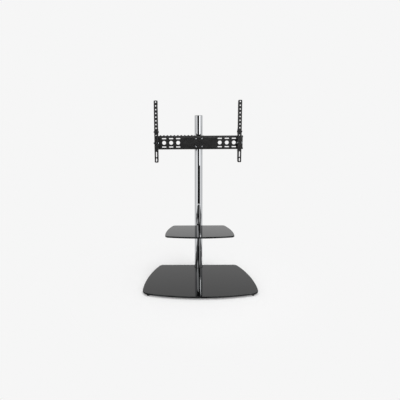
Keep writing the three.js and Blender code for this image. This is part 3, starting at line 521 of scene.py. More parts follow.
# %% Powder coat
def powder_coat():
    material, tree = start_material("black_powder_coat")
    place = add(tree, "ShaderNodeTexCoord").outputs["Object"]
    peel = add(tree, "ShaderNodeTexNoise", {"Vector": place}, Scale=per_mm(0.8), Detail=2)
    grain = add(tree, "ShaderNodeTexNoise", {"Vector": place}, Scale=per_mm(0.15), Detail=1)
    patches = add(tree, "ShaderNodeTexNoise", {"Vector": place}, Scale=per_mm(25), Detail=3)
    both = add(tree, "ShaderNodeMath", {0: peel, 1: grain}, operation="ADD")
    skin(tree, patches, ("#151516", "#1A1A1B"), (0.38, 0.46), both, depth=0.012, IOR=1.5)
    return material


BLACK_STEEL = powder_coat()
print("made:", BLACK_STEEL.name)

# %% [markdown]
# ### Zinc plate, bright and black
#
# Screws, nuts, the shelf's discs and the plug in the tube's foot are plated with zinc in a bath,
# against rust. Bright zinc is a soft grey mirror with a bluish cloud in it, about 4 mm across; black
# zinc went through one more bath that darkens it to gunmetal. The plate's crystals are finer than any
# view could show and are drawn 0.25 mm coarse. Both are metals, so their colour sits in the reflection
# and they keep the metal's own index of refraction.

# %% Zinc
def zinc_plate(name, tones, roughness):
    material, tree = start_material(name)
    place = add(tree, "ShaderNodeTexCoord").outputs["Object"]
    cloud = add(tree, "ShaderNodeTexNoise", {"Vector": place}, Scale=per_mm(4), Detail=3)
    crystals = add(tree, "ShaderNodeTexNoise", {"Vector": place}, Scale=per_mm(0.25), Detail=1)
    skin(tree, cloud, tones, roughness, crystals, depth=0.004, Metallic=1)
    return material


BRIGHT_ZINC = zinc_plate("bright_zinc_plate", ("#A9ADB3", "#C3C6CA"), (0.26, 0.38))
BLACK_ZINC = zinc_plate("black_zinc_plate", ("#2B2C2F", "#3A3B3E"), (0.3, 0.42))
print("made:", BRIGHT_ZINC.name, "and", BLACK_ZINC.name)

# %% [markdown]
# ### Rubber, moulded plastic and nylon
#
# The feet and the tube's gaskets are moulded rubber: nearly no shine, an open grain of 0.4 mm.
# The caps and rings in the tube are black plastic from an etched mould, with a grain of 0.3 mm. The
# sliding liner and the washers are natural nylon, milky and a little waxy, with a soft relief 0.8 mm
# wide. In all three the colour clouds over about 12 mm, as the batch was mixed.

# %% Rubber, plastic and nylon
def moulded(name, tones, roughness, grain_size, grain_depth):
    material, tree = start_material(name)
    place = add(tree, "ShaderNodeTexCoord").outputs["Object"]
    cloud = add(tree, "ShaderNodeTexNoise", {"Vector": place}, Scale=per_mm(12), Detail=2)
    grain = add(tree, "ShaderNodeTexNoise", {"Vector": place}, Scale=per_mm(grain_size), Detail=2)
    skin(tree, cloud, tones, roughness, grain, grain_depth, IOR=1.5)
    return material


RUBBER = moulded("moulded_rubber", ("#101011", "#161617"), (0.74, 0.86), grain_size=0.4,
                 grain_depth=0.02)
PLASTIC = moulded("etched_black_plastic", ("#0F0F10", "#151516"), (0.42, 0.52), grain_size=0.3,
                  grain_depth=0.015)
NYLON = moulded("natural_nylon", ("#D3CFC2", "#DEDACE"), (0.5, 0.6), grain_size=0.8, grain_depth=0.01)

FINISH = {
    "black_glass": GLASS_FACE,
    "chrome_tube": CHROME,
    "black_steel": BLACK_STEEL,
    "zinc": BRIGHT_ZINC,
    "dark_zinc": BLACK_ZINC,
    "rubber": RUBBER,
    "black_plastic": PLASTIC,
    "nylon": NYLON,
}
print("finishes:", len(FINISH))

# %% [markdown]
# ## Putting a piece in place
#
# Every piece is made where it stands, in metres, so putting it in place means three entries: the body
# that it moves with, the solid that it stands for, and the finish that it belongs to. Edges on real
# parts are never knife-sharp. A narrow bevel catches the thin line of light that makes a part look
# solid, and a weighted normal keeps the large faces flat beside it.

# %% Put a piece in place
SMOOTH_ANGLE = math.radians(35)


def put(node, shape, materials=None):
    mesh = bpy.data.meshes.new(f"{node}_fine")
    shape.to_mesh(mesh)
    shape.free()
    for material in materials or [FINISH[SLOT_OF[node]]]:
        mesh.materials.append(material)
    mesh.shade_smooth()
    mesh.set_sharp_from_angle(angle=SMOOTH_ANGLE)
    piece = bpy.data.objects.new(f"{node}_fine", mesh)
    bpy.context.scene.collection.objects.link(piece)
    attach(piece, BODY_OF[node])
    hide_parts(node)
    return piece


def count_pieces():
    return sum(o.name.endswith("_fine") for o in bpy.data.objects)


print("solids that wait for a finer piece:", len(frame["nodes"]) - count_pieces())

# %% Soften its edges
BEVEL_ANGLE = math.radians(30)


def keep_flat(piece):
    piece.modifiers.new("flat_faces", "WEIGHTED_NORMAL").keep_sharp = True
    return piece


def soften(piece, edge_mm):
    bevel = piece.modifiers.new("broken_edges", "BEVEL")
    bevel.width = edge_mm * MM
    bevel.segments = 2
    bevel.limit_method = "ANGLE"
    bevel.angle_limit = BEVEL_ANGLE
    return keep_flat(piece)


print("edges sharper than", round(math.degrees(BEVEL_ANGLE)), "degrees are broken")

# %% [markdown]
# ## Outlines
#
# Pressed and cut parts start as a drawing: straight runs joined by arcs. Two small functions draw them,
# one for an arc and one for a closed outline whose corners are rounded, each corner given as a place
# and a radius. Everything on a drawing is in millimetres.

# %% Arcs and rounded corners
ARC_STEP = math.radians(7.5)


def arc(centre, radius, start, end):
    steps = max(2, math.ceil(abs(end - start) / ARC_STEP))
    turns = [start + (end - start) * step / steps for step in range(steps + 1)]
    return [Vector((centre[0] + radius * math.cos(turn), centre[1] + radius * math.sin(turn)))
            for turn in turns]


def rounded(corners):
    outline = []
    for index, (x, y, *radius) in enumerate(corners):
        here = Vector((x, y))
        if not radius:
            outline.append(here)
            continue
        before = (Vector(corners[index - 1][:2]) - here).normalized()
        after = (Vector(corners[(index + 1) % len(corners)][:2]) - here).normalized()
        half_angle = before.angle(after) / 2
        centre = here + (before + after).normalized() * radius[0] / math.sin(half_angle)
        first = here + before * radius[0] / math.tan(half_angle) - centre
        last = here + after * radius[0] / math.tan(half_angle) - centre
        start = math.atan2(first.y, first.x)
        turn = math.atan2(first.x * last.y - first.y * last.x, first.dot(last))
        outline += arc(centre, radius[0], start, start + turn)
    return outline


print("points on a rounded square:", len(rounded([(0, 0, 1), (9, 0, 1), (9, 9, 1), (0, 9, 1)])))

# %% Circles and slots
def circle(x, y, radius):
    return arc((x, y), radius, 0, 2 * math.pi)[:-1]


def upright_slot(x, y, half_width, length):
    straight = length / 2 - half_width
    return (arc((x, y + straight), half_width, 0, math.pi)
            + arc((x, y - straight), half_width, math.pi, 2 * math.pi))


def lying_slot(x, y, half_height, length):
    return [Vector((x - (place.y - y), y + (place.x - x)))
            for place in upright_slot(x, y, half_height, length)]


print("points on a full circle:", len(circle(0, 0, 1)))

# %% [markdown]
# ## The two sheets of glass
#
# Both sheets have the same kind of outline: a straight back edge, sides that belly out, and a bowed
# front, all met by round corners. Half of it is four arcs that touch: the centre of the front corner
# lies where two circles, each shrunk by the corner's radius, cross. The rim is built from the outline
# drawn again a little further in, which gives the sheet its rounded arris. All places are millimetres
# from the tube's axis: widest, front and back say how far in front of it or behind it they lie.

# %% Sizes of the two sheets
BASE_OUTLINE = {"half_width": 400, "side_radius": 914, "widest": 380, "front": 490,
                "front_radius": 1380, "front_corner": 60, "back": 36, "back_corner": 32}
SHELF_OUTLINE = {"half_width": 246, "side_radius": 460, "widest": 262, "front": 310,
                 "front_radius": 1250, "front_corner": 28, "back": -46, "back_corner": 22}
print("widths in mm:", [2 * outline["half_width"] for outline in (BASE_OUTLINE, SHELF_OUTLINE)])

# %% The outline of a sheet
AXIS_PLACE = middle("pole_tube").y / MM
GLASS_ARC_STEPS = 12


def glass_outline(half_width, side_radius, widest, front, front_radius, front_corner, back, back_corner):
    """Half of the sheet is drawn from the middle of the front to the back; the rest is its mirror."""
    side = Vector((half_width - side_radius, -widest))
    bow = Vector((0, front_radius - front))
    back_height = back - back_corner
    back_run = math.sqrt((side_radius - back_corner) ** 2 - (back_height - side.y) ** 2)
    rear = Vector((side.x + back_run, back_height))
    side_reach = side_radius - front_corner
    front_reach = front_radius - front_corner
    apart = (bow - side).length
    along = (side_reach ** 2 - front_reach ** 2 + apart ** 2) / (2 * apart)
    across = math.sqrt(side_reach ** 2 - along ** 2)
    direction = (bow - side).normalized()
    corner = side + direction * along + Vector((direction.y, -direction.x)) * across
    front_turn = math.atan2(corner.y - bow.y, corner.x - bow.x)
    side_turn = math.atan2(corner.y - side.y, corner.x - side.x)
    back_turn = math.atan2(rear.y - side.y, rear.x - side.x)
    half = []
    for centre, radius, start, end in (
        (bow, front_radius, -math.pi / 2, front_turn),
        (corner, front_corner, front_turn, side_turn),
        (side, side_radius, side_turn, back_turn),
        (rear, back_corner, back_turn, math.pi / 2),
    ):
        turns = [start + (end - start) * step / GLASS_ARC_STEPS for step in range(GLASS_ARC_STEPS + 1)]
        places = [centre + radius * Vector((math.cos(turn), math.sin(turn))) for turn in turns]
        half += places if not half else places[1:]
    whole = half + [Vector((-place.x, place.y)) for place in reversed(half[1:])]
    return [Vector((place.x, place.y + AXIS_PLACE)) for place in whole]


print("points on the base's outline:", len(glass_outline(**BASE_OUTLINE)))

# %% Glass sheets
ARRIS = 1.5
ARRIS_STEPS = 4


def inset(outline, distance):
    moved = []
    for index, place in enumerate(outline):
        run = outline[(index + 1) % len(outline)] - outline[index - 1]
        moved.append(place - Vector((run.y, -run.x)).normalized() * distance)
    return moved


def join_rings(shape, first, second):
    """Makes the faces between two rings that have the same number of points."""
    return [shape.faces.new((first[index - 1], first[index], second[index], second[index - 1]))
            for index in range(len(first))]


def glass_sheet(node, outline):
    bottom, top = (end.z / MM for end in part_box(node))
    turns = [math.pi / 2 * step / ARRIS_STEPS for step in range(ARRIS_STEPS + 1)]
    profile = [(ARRIS * (1 - math.sin(turn)), bottom + ARRIS * (1 - math.cos(turn))) for turn in turns]
    profile += [(ARRIS * (1 - math.cos(turn)), top - ARRIS * (1 - math.sin(turn))) for turn in turns]
    shape = bmesh.new()
    rings = [[shape.verts.new((place.x * MM, place.y * MM, height * MM))
              for place in inset(outline, distance)] for distance, height in profile]
    for first, second in zip(rings, rings[1:]):
        for face in join_rings(shape, first, second):
            face.material_index = 1
    shape.faces.new(rings[-1])
    shape.faces.new(list(reversed(rings[0])))
    keep_flat(put(node, shape, [GLASS_FACE, GLASS_RIM]))


glass_sheet("base_glass", glass_outline(**BASE_OUTLINE))
glass_sheet("shelf_glass", glass_outline(**SHELF_OUTLINE))
print("glass sheets:", [round(size_of(n).x, 3) for n in ("base_glass", "shelf_glass")], "m wide")

# %% [markdown]
# ## Turned parts
#
# Feet, discs, washers, caps, screws and nuts are round, so each is one profile turned about an axis. A
# hexagon fits in the same method: a ring of the profile may be marked as six-sided, and its points are
# then pushed out to the hexagon. That gives a socket in a screw head and a nut with chamfered corners.
# A profile is a drawing in millimetres: each entry is a radius and a height.

# %% Turn a profile
TURN_STEPS = 48


def turned(profile, closed=False, steps=TURN_STEPS):
    shape = bmesh.new()
    rings = []
    for radius, height, *sides in profile:
        if radius == 0:
            rings.append([shape.verts.new((0, 0, height * MM))])
            continue
        ring = []
        for step in range(steps):
            angle = 2 * math.pi * step / steps
            reach = radius
            if sides:
                sector = 2 * math.pi / sides[0]
                reach = radius / math.cos(angle % sector - sector / 2)
            ring.append(shape.verts.new((reach * math.cos(angle) * MM, reach * math.sin(angle) * MM,
                                         height * MM)))
        rings.append(ring)
    pairs = list(zip(rings, rings[1:])) + ([(rings[-1], rings[0])] if closed else [])
    for first, second in pairs:
        for step in range(steps):
            after = (step + 1) % steps
            corners = [first[step % len(first)], first[after % len(first)],
                       second[after % len(second)], second[step % len(second)]]
            shape.faces.new(list(dict.fromkeys(corners)))
    bmesh.ops.recalc_face_normals(shape, faces=shape.faces)
    return shape


print("faces of a plain disc:", len(turned([(0, 0), (1, 0), (1, 1), (0, 1)]).faces))

# %% Stand it in its place
def stand_at(shape, place, outward=Vector((0, 0, 1))):
    """Moves a turned shape so that its own +Z points outward and its zero height lies at the place."""
    turn = outward.to_track_quat("Z", "X").to_matrix().to_4x4()
    shape.transform(Matrix.Translation(place) @ turn)
    return shape


def lathe(node, profile, closed=False):
    """Puts a turned piece upright at the foot of its solid's box."""
    low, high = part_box(node)
    foot = Vector(((low.x + high.x) / 2, (low.y + high.y) / 2, low.z))
    return put(node, stand_at(turned(profile, closed), foot))


def radius_and_height(node):
    return size_of(node).x / 2 / MM, size_of(node).z / MM


print("radius and height of a foot:", [round(c, 2) for c in radius_and_height("base_foot_front_left")])

# %% [markdown]
# ### Rubber feet, rings, discs and the cap
#
# The feet are bonded under the glass near its corners; their lower edge is rounded so that they don't
# catch on a carpet. The shelf hangs on three metal discs that are glued under its glass. A black cap
# closes the tube, sunk to the rim.

# %% Feet
for corner in ("front_left", "front_right", "rear_left", "rear_right"):
    node = f"base_foot_{corner}"
    radius, height = radius_and_height(node)
    lathe(node, [
        (0, 0.5), (3.2, 0.5), (3.7, 0), (radius - 1.6, 0), (radius - 0.6, 0.4), (radius - 0.1, 1.2),
        (radius, 2.2), (radius, height - 0.4), (radius - 0.4, height), (0, height),
    ])
print("foot radius:", round(radius, 1), "mm, height:", round(height, 1), "mm")

# %% Discs and washers
DISC_BORE = 2.8
WASHER_BORE = 6.3

for name in ("rear", "front_left", "front_right"):
    node = f"shelf_disc_{name}"
    radius, height = radius_and_height(node)
    lathe(node, [
        (DISC_BORE, 0.3), (DISC_BORE + 0.3, 0), (radius - 0.5, 0), (radius, 0.5), (radius, height - 0.3),
        (radius - 0.3, height), (DISC_BORE, height),
    ], closed=True)

for name in ("lower", "upper"):
    node = f"swivel_washer_{name}"
    radius, height = radius_and_height(node)
    lathe(node, [
        (WASHER_BORE, 0), (radius - 0.3, 0), (radius, 0.3), (radius, height - 0.3),
        (radius - 0.3, height), (WASHER_BORE, height),
    ], closed=True)
print("washer radius:", round(radius, 1), "mm, height:", round(height, 1), "mm")

# %% Ring and cap of the tube
TUBE_WALL = 2
TUBE_RADIUS = size_of("pole_tube").x / 2 / MM
TUBE_BORE = TUBE_RADIUS - TUBE_WALL

radius, height = radius_and_height("pole_foot_gasket")
lathe("pole_foot_gasket", [
    (TUBE_BORE, 0), (radius, 0), (radius, height - 0.5), (radius - 0.5, height), (TUBE_BORE, height),
], closed=True)

radius, height = radius_and_height("pole_top_plug")
lathe("pole_top_plug", [
    (0, height), (radius - 6, height - 0.1), (radius - 2, height - 0.4), (radius - 0.6, height - 1),
    (radius, height - 2), (radius, 0.4), (radius - 0.4, 0), (radius - 3, 0), (radius - 3, height - 3),
    (0, height - 3),
])
print("pieces so far:", count_pieces())

# %% [markdown]
# ## The chromed tube
#
# The tube is one steel tube, 60 mm across with a 2 mm wall, cut square and deburred. Two upright
# oval holes at the back let the cables in and out. The wall is a turned ring, with more steps than the
# small parts because it is a mirror; the holes are cut with a boolean, as a cutter would, and the outer
# wall gets the normals of a true cylinder so that its stripes run straight.

# %% Cutting holes
def upright_cutter(outline, from_y, to_y):
    shape = bmesh.new()
    rings = [[shape.verts.new((place.x * MM, y * MM, place.y * MM)) for place in outline]
             for y in (from_y, to_y)]
    join_rings(shape, *rings)
    shape.faces.new(rings[0])
    shape.faces.new(list(reversed(rings[1])))
    bmesh.ops.recalc_face_normals(shape, faces=shape.faces)
    mesh = bpy.data.meshes.new("cable_hole_cutter")
    shape.to_mesh(mesh)
    shape.free()
    cutter = bpy.data.objects.new("cable_hole_cutter", mesh)
    bpy.context.scene.collection.objects.link(cutter)
    return cutter


def cut(piece, cutters):
    for cutter in cutters:
        hole = piece.modifiers.new("hole", "BOOLEAN")
        hole.operation = "DIFFERENCE"
        hole.solver = "EXACT"
        hole.object = cutter
    whole = piece.evaluated_get(bpy.context.evaluated_depsgraph_get())
    mesh = bpy.data.meshes.new_from_object(whole)
    piece.modifiers.clear()
    piece.data = mesh
    for cutter in cutters:
        bpy.data.objects.remove(cutter)


CABLE_HOLES = (95, 650)
CABLE_HOLE_HALF_WIDTH = 12
CABLE_HOLE_LENGTH = 50
print("cable holes start", [height - CABLE_HOLE_LENGTH / 2 for height in CABLE_HOLES], "mm up")

# %% Tube
TUBE_STEPS = 144

tube_bottom, tube_top = (end.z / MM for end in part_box("pole_tube"))
wall = turned([
    (TUBE_BORE, tube_bottom), (TUBE_RADIUS, tube_bottom), (TUBE_RADIUS, tube_top - 0.5),
    (TUBE_RADIUS - 0.5, tube_top), (TUBE_BORE + 0.3, tube_top), (TUBE_BORE, tube_top - 0.3),
], closed=True, steps=TUBE_STEPS)
tube = put("pole_tube", stand_at(wall, Vector((0, AXIS_PLACE * MM, 0))))
cut(tube, [upright_cutter(upright_slot(0, height, CABLE_HOLE_HALF_WIDTH, CABLE_HOLE_LENGTH),
                          AXIS_PLACE, AXIS_PLACE + 2 * TUBE_RADIUS) for height in CABLE_HOLES])
print("tube:", len(tube.data.polygons), "faces")

# %% The normals of a true cylinder
WALL_TOLERANCE = 0.2
UPRIGHT_LIMIT = 0.1


def keep_round(piece, radius):
    mesh = piece.data
    normals = []
    for polygon in mesh.polygons:
        centre = polygon.center
        outward = Vector((centre.x, centre.y - AXIS_PLACE * MM, 0))
        on_wall = (abs(polygon.normal.z) < UPRIGHT_LIMIT
                   and outward.length > (radius - WALL_TOLERANCE) * MM)
        for index in polygon.vertices:
            corner = mesh.vertices[index].co
            away = Vector((corner.x, corner.y - AXIS_PLACE * MM, 0)).normalized()
            on_wall = on_wall and polygon.normal.dot(outward) > 0
            normals.append(away if on_wall else polygon.normal.copy())
    mesh.normals_split_custom_set([tuple(normal) for normal in normals])
    return len(normals)


print("normals set on the tube:", keep_round(tube, TUBE_RADIUS))

# %% [markdown]
# ## Folded sheet steel
#
# The arms and the rail start as flat blanks: a press cuts the outline and the holes in one stroke, then
# a brake folds the edges over a round tool. Making them the same way gives the right result for free:
# the metal keeps its thickness, holes stay round, and each bend has its radius. A blank is cut into
# strips across each bend, and the fold rolls everything past its line about the tool.

# %% Blanks
def blank(outline, holes, thickness):
    """A flat sheet whose drawing is in x and z and whose middle lies at y = 0."""
    sheet = bmesh.new()
    loops = [outline, *holes]
    triangles = tessellate_polygon([[(place.x, place.y, 0) for place in loop] for loop in loops])
    front, back = ([[sheet.verts.new((place.x * MM, side * thickness / 2 * MM, place.y * MM))
                     for place in loop] for loop in loops] for side in (-1, 1))
    for layer in (front, back):
        corners = [corner for loop in layer for corner in loop]
        for triangle in triangles:
            sheet.faces.new([corners[index] for index in triangle])
    for near, far in zip(front, back):
        join_rings(sheet, near, far)
    bmesh.ops.recalc_face_normals(sheet, faces=sheet.faces)
    return sheet


print("faces of a plain blank:", len(blank(circle(0, 0, 1), [], 1).faces))

# %% Folds
FOLD_STEPS = 6
WELD = MM * MM
FLAT_ANGLE = math.radians(0.5)


def fold(sheet, start, along, toward, angle, radius):
    """Rolls what lies past the start about a round tool, by an angle, in millimetres and radians."""
    for step in range(FOLD_STEPS + 1):
        line = start + along * radius * angle * step / FOLD_STEPS
        bmesh.ops.bisect_plane(sheet, geom=sheet.verts[:] + sheet.edges[:] + sheet.faces[:],
                               dist=WELD, plane_co=line * MM, plane_no=along)
    for corner in sheet.verts:
        reach = (corner.co - start * MM).dot(along) / MM
        depth = (corner.co - start * MM).dot(toward) / MM
        if reach > 0:
            turn = min(reach / radius, angle)
            straight = reach - turn * radius
            ahead = (radius - depth) * math.sin(turn) + straight * math.cos(turn) - reach
            aside = radius - (radius - depth) * math.cos(turn) + straight * math.sin(turn) - depth
            corner.co += (along * ahead + toward * aside) * MM


def press(node, sheet, place):
    """Merges the flat regions, moves the sheet to its place and breaks its edges."""
    bmesh.ops.dissolve_limit(sheet, angle_limit=FLAT_ANGLE, verts=sheet.verts, edges=sheet.edges)
    sheet.transform(Matrix.Translation(place * MM))
    return soften(put(node, sheet), edge_mm=0.3)


print("a right-angled bend is rolled in steps of", 90 / FOLD_STEPS, "degrees")

# %% [markdown]
# ### The two arms
#
# An arm is a channel: a face that lies on the back of the screen and two flanges that point backwards.
# Its face has eight round-ended holes above the rail, two more near it and two long slots below, so that
# screens of many sizes find a match. Each flange has an ear with a curved slot, in which the locking
# bolt slides while the arm tilts about the pivot in the rail's middle.

# %% Sizes of an arm
RAIL_HEIGHT = 1014
ARM_SHEET = 2.5
ARM_BEND = 2.5
ARM_HALF_WIDTH = size_of("left_arm").x / 2 / MM
ARM_BOTTOM, ARM_TOP = (end.z / MM - RAIL_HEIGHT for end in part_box("left_arm"))
ARM_EAR_DEPTH = size_of("left_arm").y / MM
ARM_DEPTH = 22
ARM_END_DEPTH = 12
ARM_END_TAPER = 26
ARM_CORNER = 3
EAR_BOTTOM = 64
EAR_TOP = 98
EAR_CORNER = 5
ARM_HOLE_TOP = 293.5
ARM_HOLE_PITCH = 26.4
ARM_HOLE_ROWS = (0, 1, 2, 3, 4, 5, 6, 7, 9, 11)
ARM_HOLE_HALF_WIDTH = 4
ARM_HOLE_LENGTH = 9.8
ARM_SLOT_HALF_WIDTH = 3.6
ARM_SLOTS = ((-58.5, -100.5), (-109, -132))
PIVOT_DEPTH = 15
PIVOT_HOLE = 4.4
TILT_RISE = 80.5
TILT_HOLE = 3.4
TILT_FORWARD = math.radians(12.4)
TILT_BACK = math.radians(3.4)
ARM_FOLD_LINE = ARM_HALF_WIDTH - ARM_SHEET / 2 - ARM_BEND


def arm_reach(depth):
    """Where a place on the flange, given by its depth from the face, lies on the flat blank."""
    return ARM_FOLD_LINE + ARM_BEND * math.pi / 2 + depth - ARM_SHEET / 2 - ARM_BEND


print("the arms reach from", round(ARM_BOTTOM), "to", round(ARM_TOP), "mm about the rail's middle")

# %% The curved slot for the tilt
def tilt_slot():
    """An arc about the pivot, in depth and height."""
    back = math.pi / 2 - TILT_FORWARD
    front = math.pi / 2 + TILT_BACK
    pivot = (PIVOT_DEPTH, 0)

    def end(turn):
        return (pivot[0] + TILT_RISE * math.cos(turn), TILT_RISE * math.sin(turn))

    outline = arc(pivot, TILT_RISE + TILT_HOLE, back, front)
    outline += arc(end(front), TILT_HOLE, front, front + math.pi)[1:-1]
    outline += arc(pivot, TILT_RISE - TILT_HOLE, front, back)
    outline += arc(end(back), TILT_HOLE, back - math.pi, back)[1:-1]
    return outline


print("points on the slot:", len(tilt_slot()))

# %% Arms
def arm(side):
    edge = arm_reach(ARM_BEND / 2)
    shoulder = ARM_CORNER + 0.5
    right = [
        (edge, ARM_BOTTOM, ARM_CORNER), (edge, ARM_BOTTOM + shoulder),
        (arm_reach(ARM_END_DEPTH), ARM_BOTTOM + shoulder, ARM_CORNER / 2),
        (arm_reach(ARM_DEPTH), ARM_BOTTOM + ARM_END_TAPER, ARM_CORNER),
        (arm_reach(ARM_DEPTH), EAR_BOTTOM - EAR_CORNER, EAR_CORNER),
        (arm_reach(ARM_EAR_DEPTH), EAR_BOTTOM, EAR_CORNER),
        (arm_reach(ARM_EAR_DEPTH), EAR_TOP, EAR_CORNER),
        (arm_reach(ARM_DEPTH), EAR_TOP + EAR_CORNER, EAR_CORNER),
        (arm_reach(ARM_DEPTH), ARM_TOP - ARM_END_TAPER, ARM_CORNER),
        (arm_reach(ARM_END_DEPTH), ARM_TOP - shoulder, ARM_CORNER / 2),
        (edge, ARM_TOP - shoulder), (edge, ARM_TOP, ARM_CORNER),
    ]
    left = [(-x, *rest) for x, *rest in reversed(right)]
    holes = [upright_slot(0, ARM_HOLE_TOP - row * ARM_HOLE_PITCH, ARM_HOLE_HALF_WIDTH, ARM_HOLE_LENGTH)
             for row in ARM_HOLE_ROWS]
    holes += [upright_slot(0, (top + bottom) / 2, ARM_SLOT_HALF_WIDTH, top - bottom)
              for top, bottom in ARM_SLOTS]
    for way in (-1, 1):
        holes.append(circle(way * arm_reach(PIVOT_DEPTH), 0, PIVOT_HOLE))
        holes.append([Vector((way * arm_reach(place.x), place.y)) for place in tilt_slot()])
    sheet = blank(rounded(right + left), holes, ARM_SHEET)
    for way in (-1, 1):
        outward = Vector((way, 0, 0))
        fold(sheet, outward * ARM_FOLD_LINE, outward, Vector((0, 1, 0)), math.pi / 2, ARM_BEND)
    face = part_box(f"{side}_arm")[0].y / MM + ARM_SHEET / 2
    return press(f"{side}_arm", sheet, Vector((middle(f"{side}_arm").x / MM, face, RAIL_HEIGHT)))


for side in ("left", "right"):
    print(side, "arm:", len(arm(side).data.polygons), "faces")

# %% [markdown]
# ### The rail
#
# The rail is a long pressed channel whose two lips lean back at half a right angle; the arms' hooks
# hang over them. Six round holes and twelve slots save weight. The top lip's left half is cut into a
# row of rounded teeth, which a press does in the flat blank, before the lip is folded.

# %% Sizes of the rail
RAIL_SHEET = 3
RAIL_BEND = 4.5
RAIL_HALF_LENGTH = size_of("rail").x / 2 / MM
RAIL_WEB_HALF_HEIGHT = 39
RAIL_LIP_RUN = 11
RAIL_END_STEP = 3
RAIL_LIP_ANGLE = math.pi / 4
RAIL_HOLES = (151, 202, 253)
RAIL_HOLE_RADIUS = 13.9
RAIL_SLOT_HALF_HEIGHT = 3.8
RAIL_SLOT_LENGTH = 31.2
RAIL_SLOT_RISE = 30.5
RAIL_BOLT_HOLE = 3.4
RAIL_BOLT_PLACES = ((-21.4, -29), (-21.4, 29), (21.4, -29), (21.4, 29))
TOOTH_PITCH = 25.3
TOOTH_COUNT = 11
LAST_TOOTH = 52
TOOTH_HEIGHT = 7.5
TOOTH_SHARPNESS = 1.5
TOOTH_STEPS = 16
print("the row of teeth is", round(TOOTH_PITCH * TOOTH_COUNT), "mm long")

# %% Rail
def rail():
    half_turn = math.tan(RAIL_LIP_ANGLE / 2)
    corner = RAIL_WEB_HALF_HEIGHT - RAIL_SHEET / 2 * half_turn
    fold_line = corner - RAIL_BEND * half_turn
    lip_length = math.hypot(RAIL_LIP_RUN, RAIL_LIP_RUN)
    straight = lip_length - RAIL_SHEET / 2 * half_turn - RAIL_BEND * half_turn
    lip = fold_line + RAIL_BEND * RAIL_LIP_ANGLE + straight
    step = RAIL_WEB_HALF_HEIGHT
    end = RAIL_HALF_LENGTH
    web_end = end - RAIL_END_STEP
    outline = [Vector(place) for place in (
        (-end, -lip), (end, -lip), (end, -step), (web_end, -step), (web_end, step), (end, step),
        (end, lip), (-LAST_TOOTH + TOOTH_PITCH / 2, lip))]
    for index in range(1, TOOTH_COUNT * TOOTH_STEPS):
        share = index / TOOTH_STEPS - 0.5
        crest = ((1 + math.cos(2 * math.pi * share)) / 2) ** TOOTH_SHARPNESS
        place = -LAST_TOOTH - share * TOOTH_PITCH
        if place > -end + 1:
            outline.append(Vector((place, lip + TOOTH_HEIGHT * crest)))
    outline += [Vector(place) for place in ((-end, lip), (-end, step), (-web_end, step),
                                            (-web_end, -step), (-end, -step))]
    holes = [circle(x, z, RAIL_BOLT_HOLE) for x, z in RAIL_BOLT_PLACES]
    for way in (-1, 1):
        for place in RAIL_HOLES:
            holes.append(circle(way * place, 0, RAIL_HOLE_RADIUS))
            holes += [lying_slot(way * place, level, RAIL_SLOT_HALF_HEIGHT, RAIL_SLOT_LENGTH)
                      for level in (-RAIL_SLOT_RISE, RAIL_SLOT_RISE)]
    sheet = blank(outline, holes, RAIL_SHEET)
    for way in (-1, 1):
        upward = Vector((0, 0, way))
        fold(sheet, upward * fold_line, upward, Vector((0, 1, 0)), RAIL_LIP_ANGLE, RAIL_BEND)
    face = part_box("rail")[0].y / MM + RAIL_SHEET / 2
    return press("rail", sheet, Vector((0, face, RAIL_HEIGHT)))


print("rail:", len(rail().data.polygons), "faces")

# %% [markdown]
# ## Formed and cast parts
#
# The hooks, the swivelling yoke, the clamps, the plates and the cable rings have the right shape as
# solids already, down to their ribs and bends. What they lack is the broken edge that every real part
# has. Each one is copied, its flat regions are merged, and its edges get a bevel of the width, in
# millimetres, that is listed with it.

# %% Softened solids
SOFT_EDGES = {
    "left_hook": 0.35, "right_hook": 0.35, "swivel_yoke": 0.5, "shelf_bracket": 0.4,
    "mount_collar": 0.5, "shelf_collar": 0.5, "foot_plate": 0.5, "foot_plate_gasket": 0.15,
    "pole_foot_plug": 0.3, "mount_liner": 0.2, "lower_cable_grommet": 0.25, "upper_cable_grommet": 0.25,
}


def softened(node, edge_mm):
    shape = bmesh.new()
    shape.from_mesh(frame["nodes"][node].data)
    bmesh.ops.remove_doubles(shape, verts=shape.verts, dist=WELD)
    bmesh.ops.dissolve_limit(shape, angle_limit=FLAT_ANGLE, verts=shape.verts, edges=shape.edges)
    for face in shape.faces:
        face.material_index = 0
    soften(put(node, shape), edge_mm)


for node, edge_mm in SOFT_EDGES.items():
    softened(node, edge_mm)
print("softened solids:", len(SOFT_EDGES))

# %% [markdown]
# ## Screws
#
# Every screw is turned from its head down: a hexagon socket, a head of its own kind, a shank and a
# thread. The thread is drawn as rings a pitch apart, because its helix is finer than any view of the
# whole stand could show. The length comes from the solid's box, and so does the head's width. Outward
# says which way the head looks.

# %% Screw heads
SOCKET_DEPTH_SHARE = 0.55
SOCKET_DEPTH_LIMIT = 3
DOME_SHARE = 0.85
COUNTERSUNK_EDGE = 0.4


def head_profile(kind, radius, height, socket):
    floor = -min(SOCKET_DEPTH_SHARE * height, SOCKET_DEPTH_LIMIT)
    mouth = socket + 0.3
    sunk = [(0, floor - 0.5), (socket, floor, 6), (socket, -0.15, 6), (mouth, 0)]
    if kind == "cap":
        return sunk + [(radius - 0.6, 0), (radius - 0.15, -0.2), (radius, -0.7), (radius, -height)]
    if kind == "button":
        turns = [math.radians(15 * step) for step in range(1, 7)]
        dome = [(mouth + (radius - socket - 0.3) * math.sin(turn),
                 -DOME_SHARE * height * (1 - math.cos(turn))) for turn in turns]
        return sunk + dome + [(radius, -height)]
    return sunk + [(radius, 0), (radius, -COUNTERSUNK_EDGE)]


print("rings in a domed head:", len(head_profile("button", 5, 3, 2)))

# %% A screw
X, Y, Z = Vector((1, 0, 0)), Vector((0, 1, 0)), Vector((0, 0, 1))
THREAD_DEPTH_SHARE = 0.6
THREAD_END = 0.8


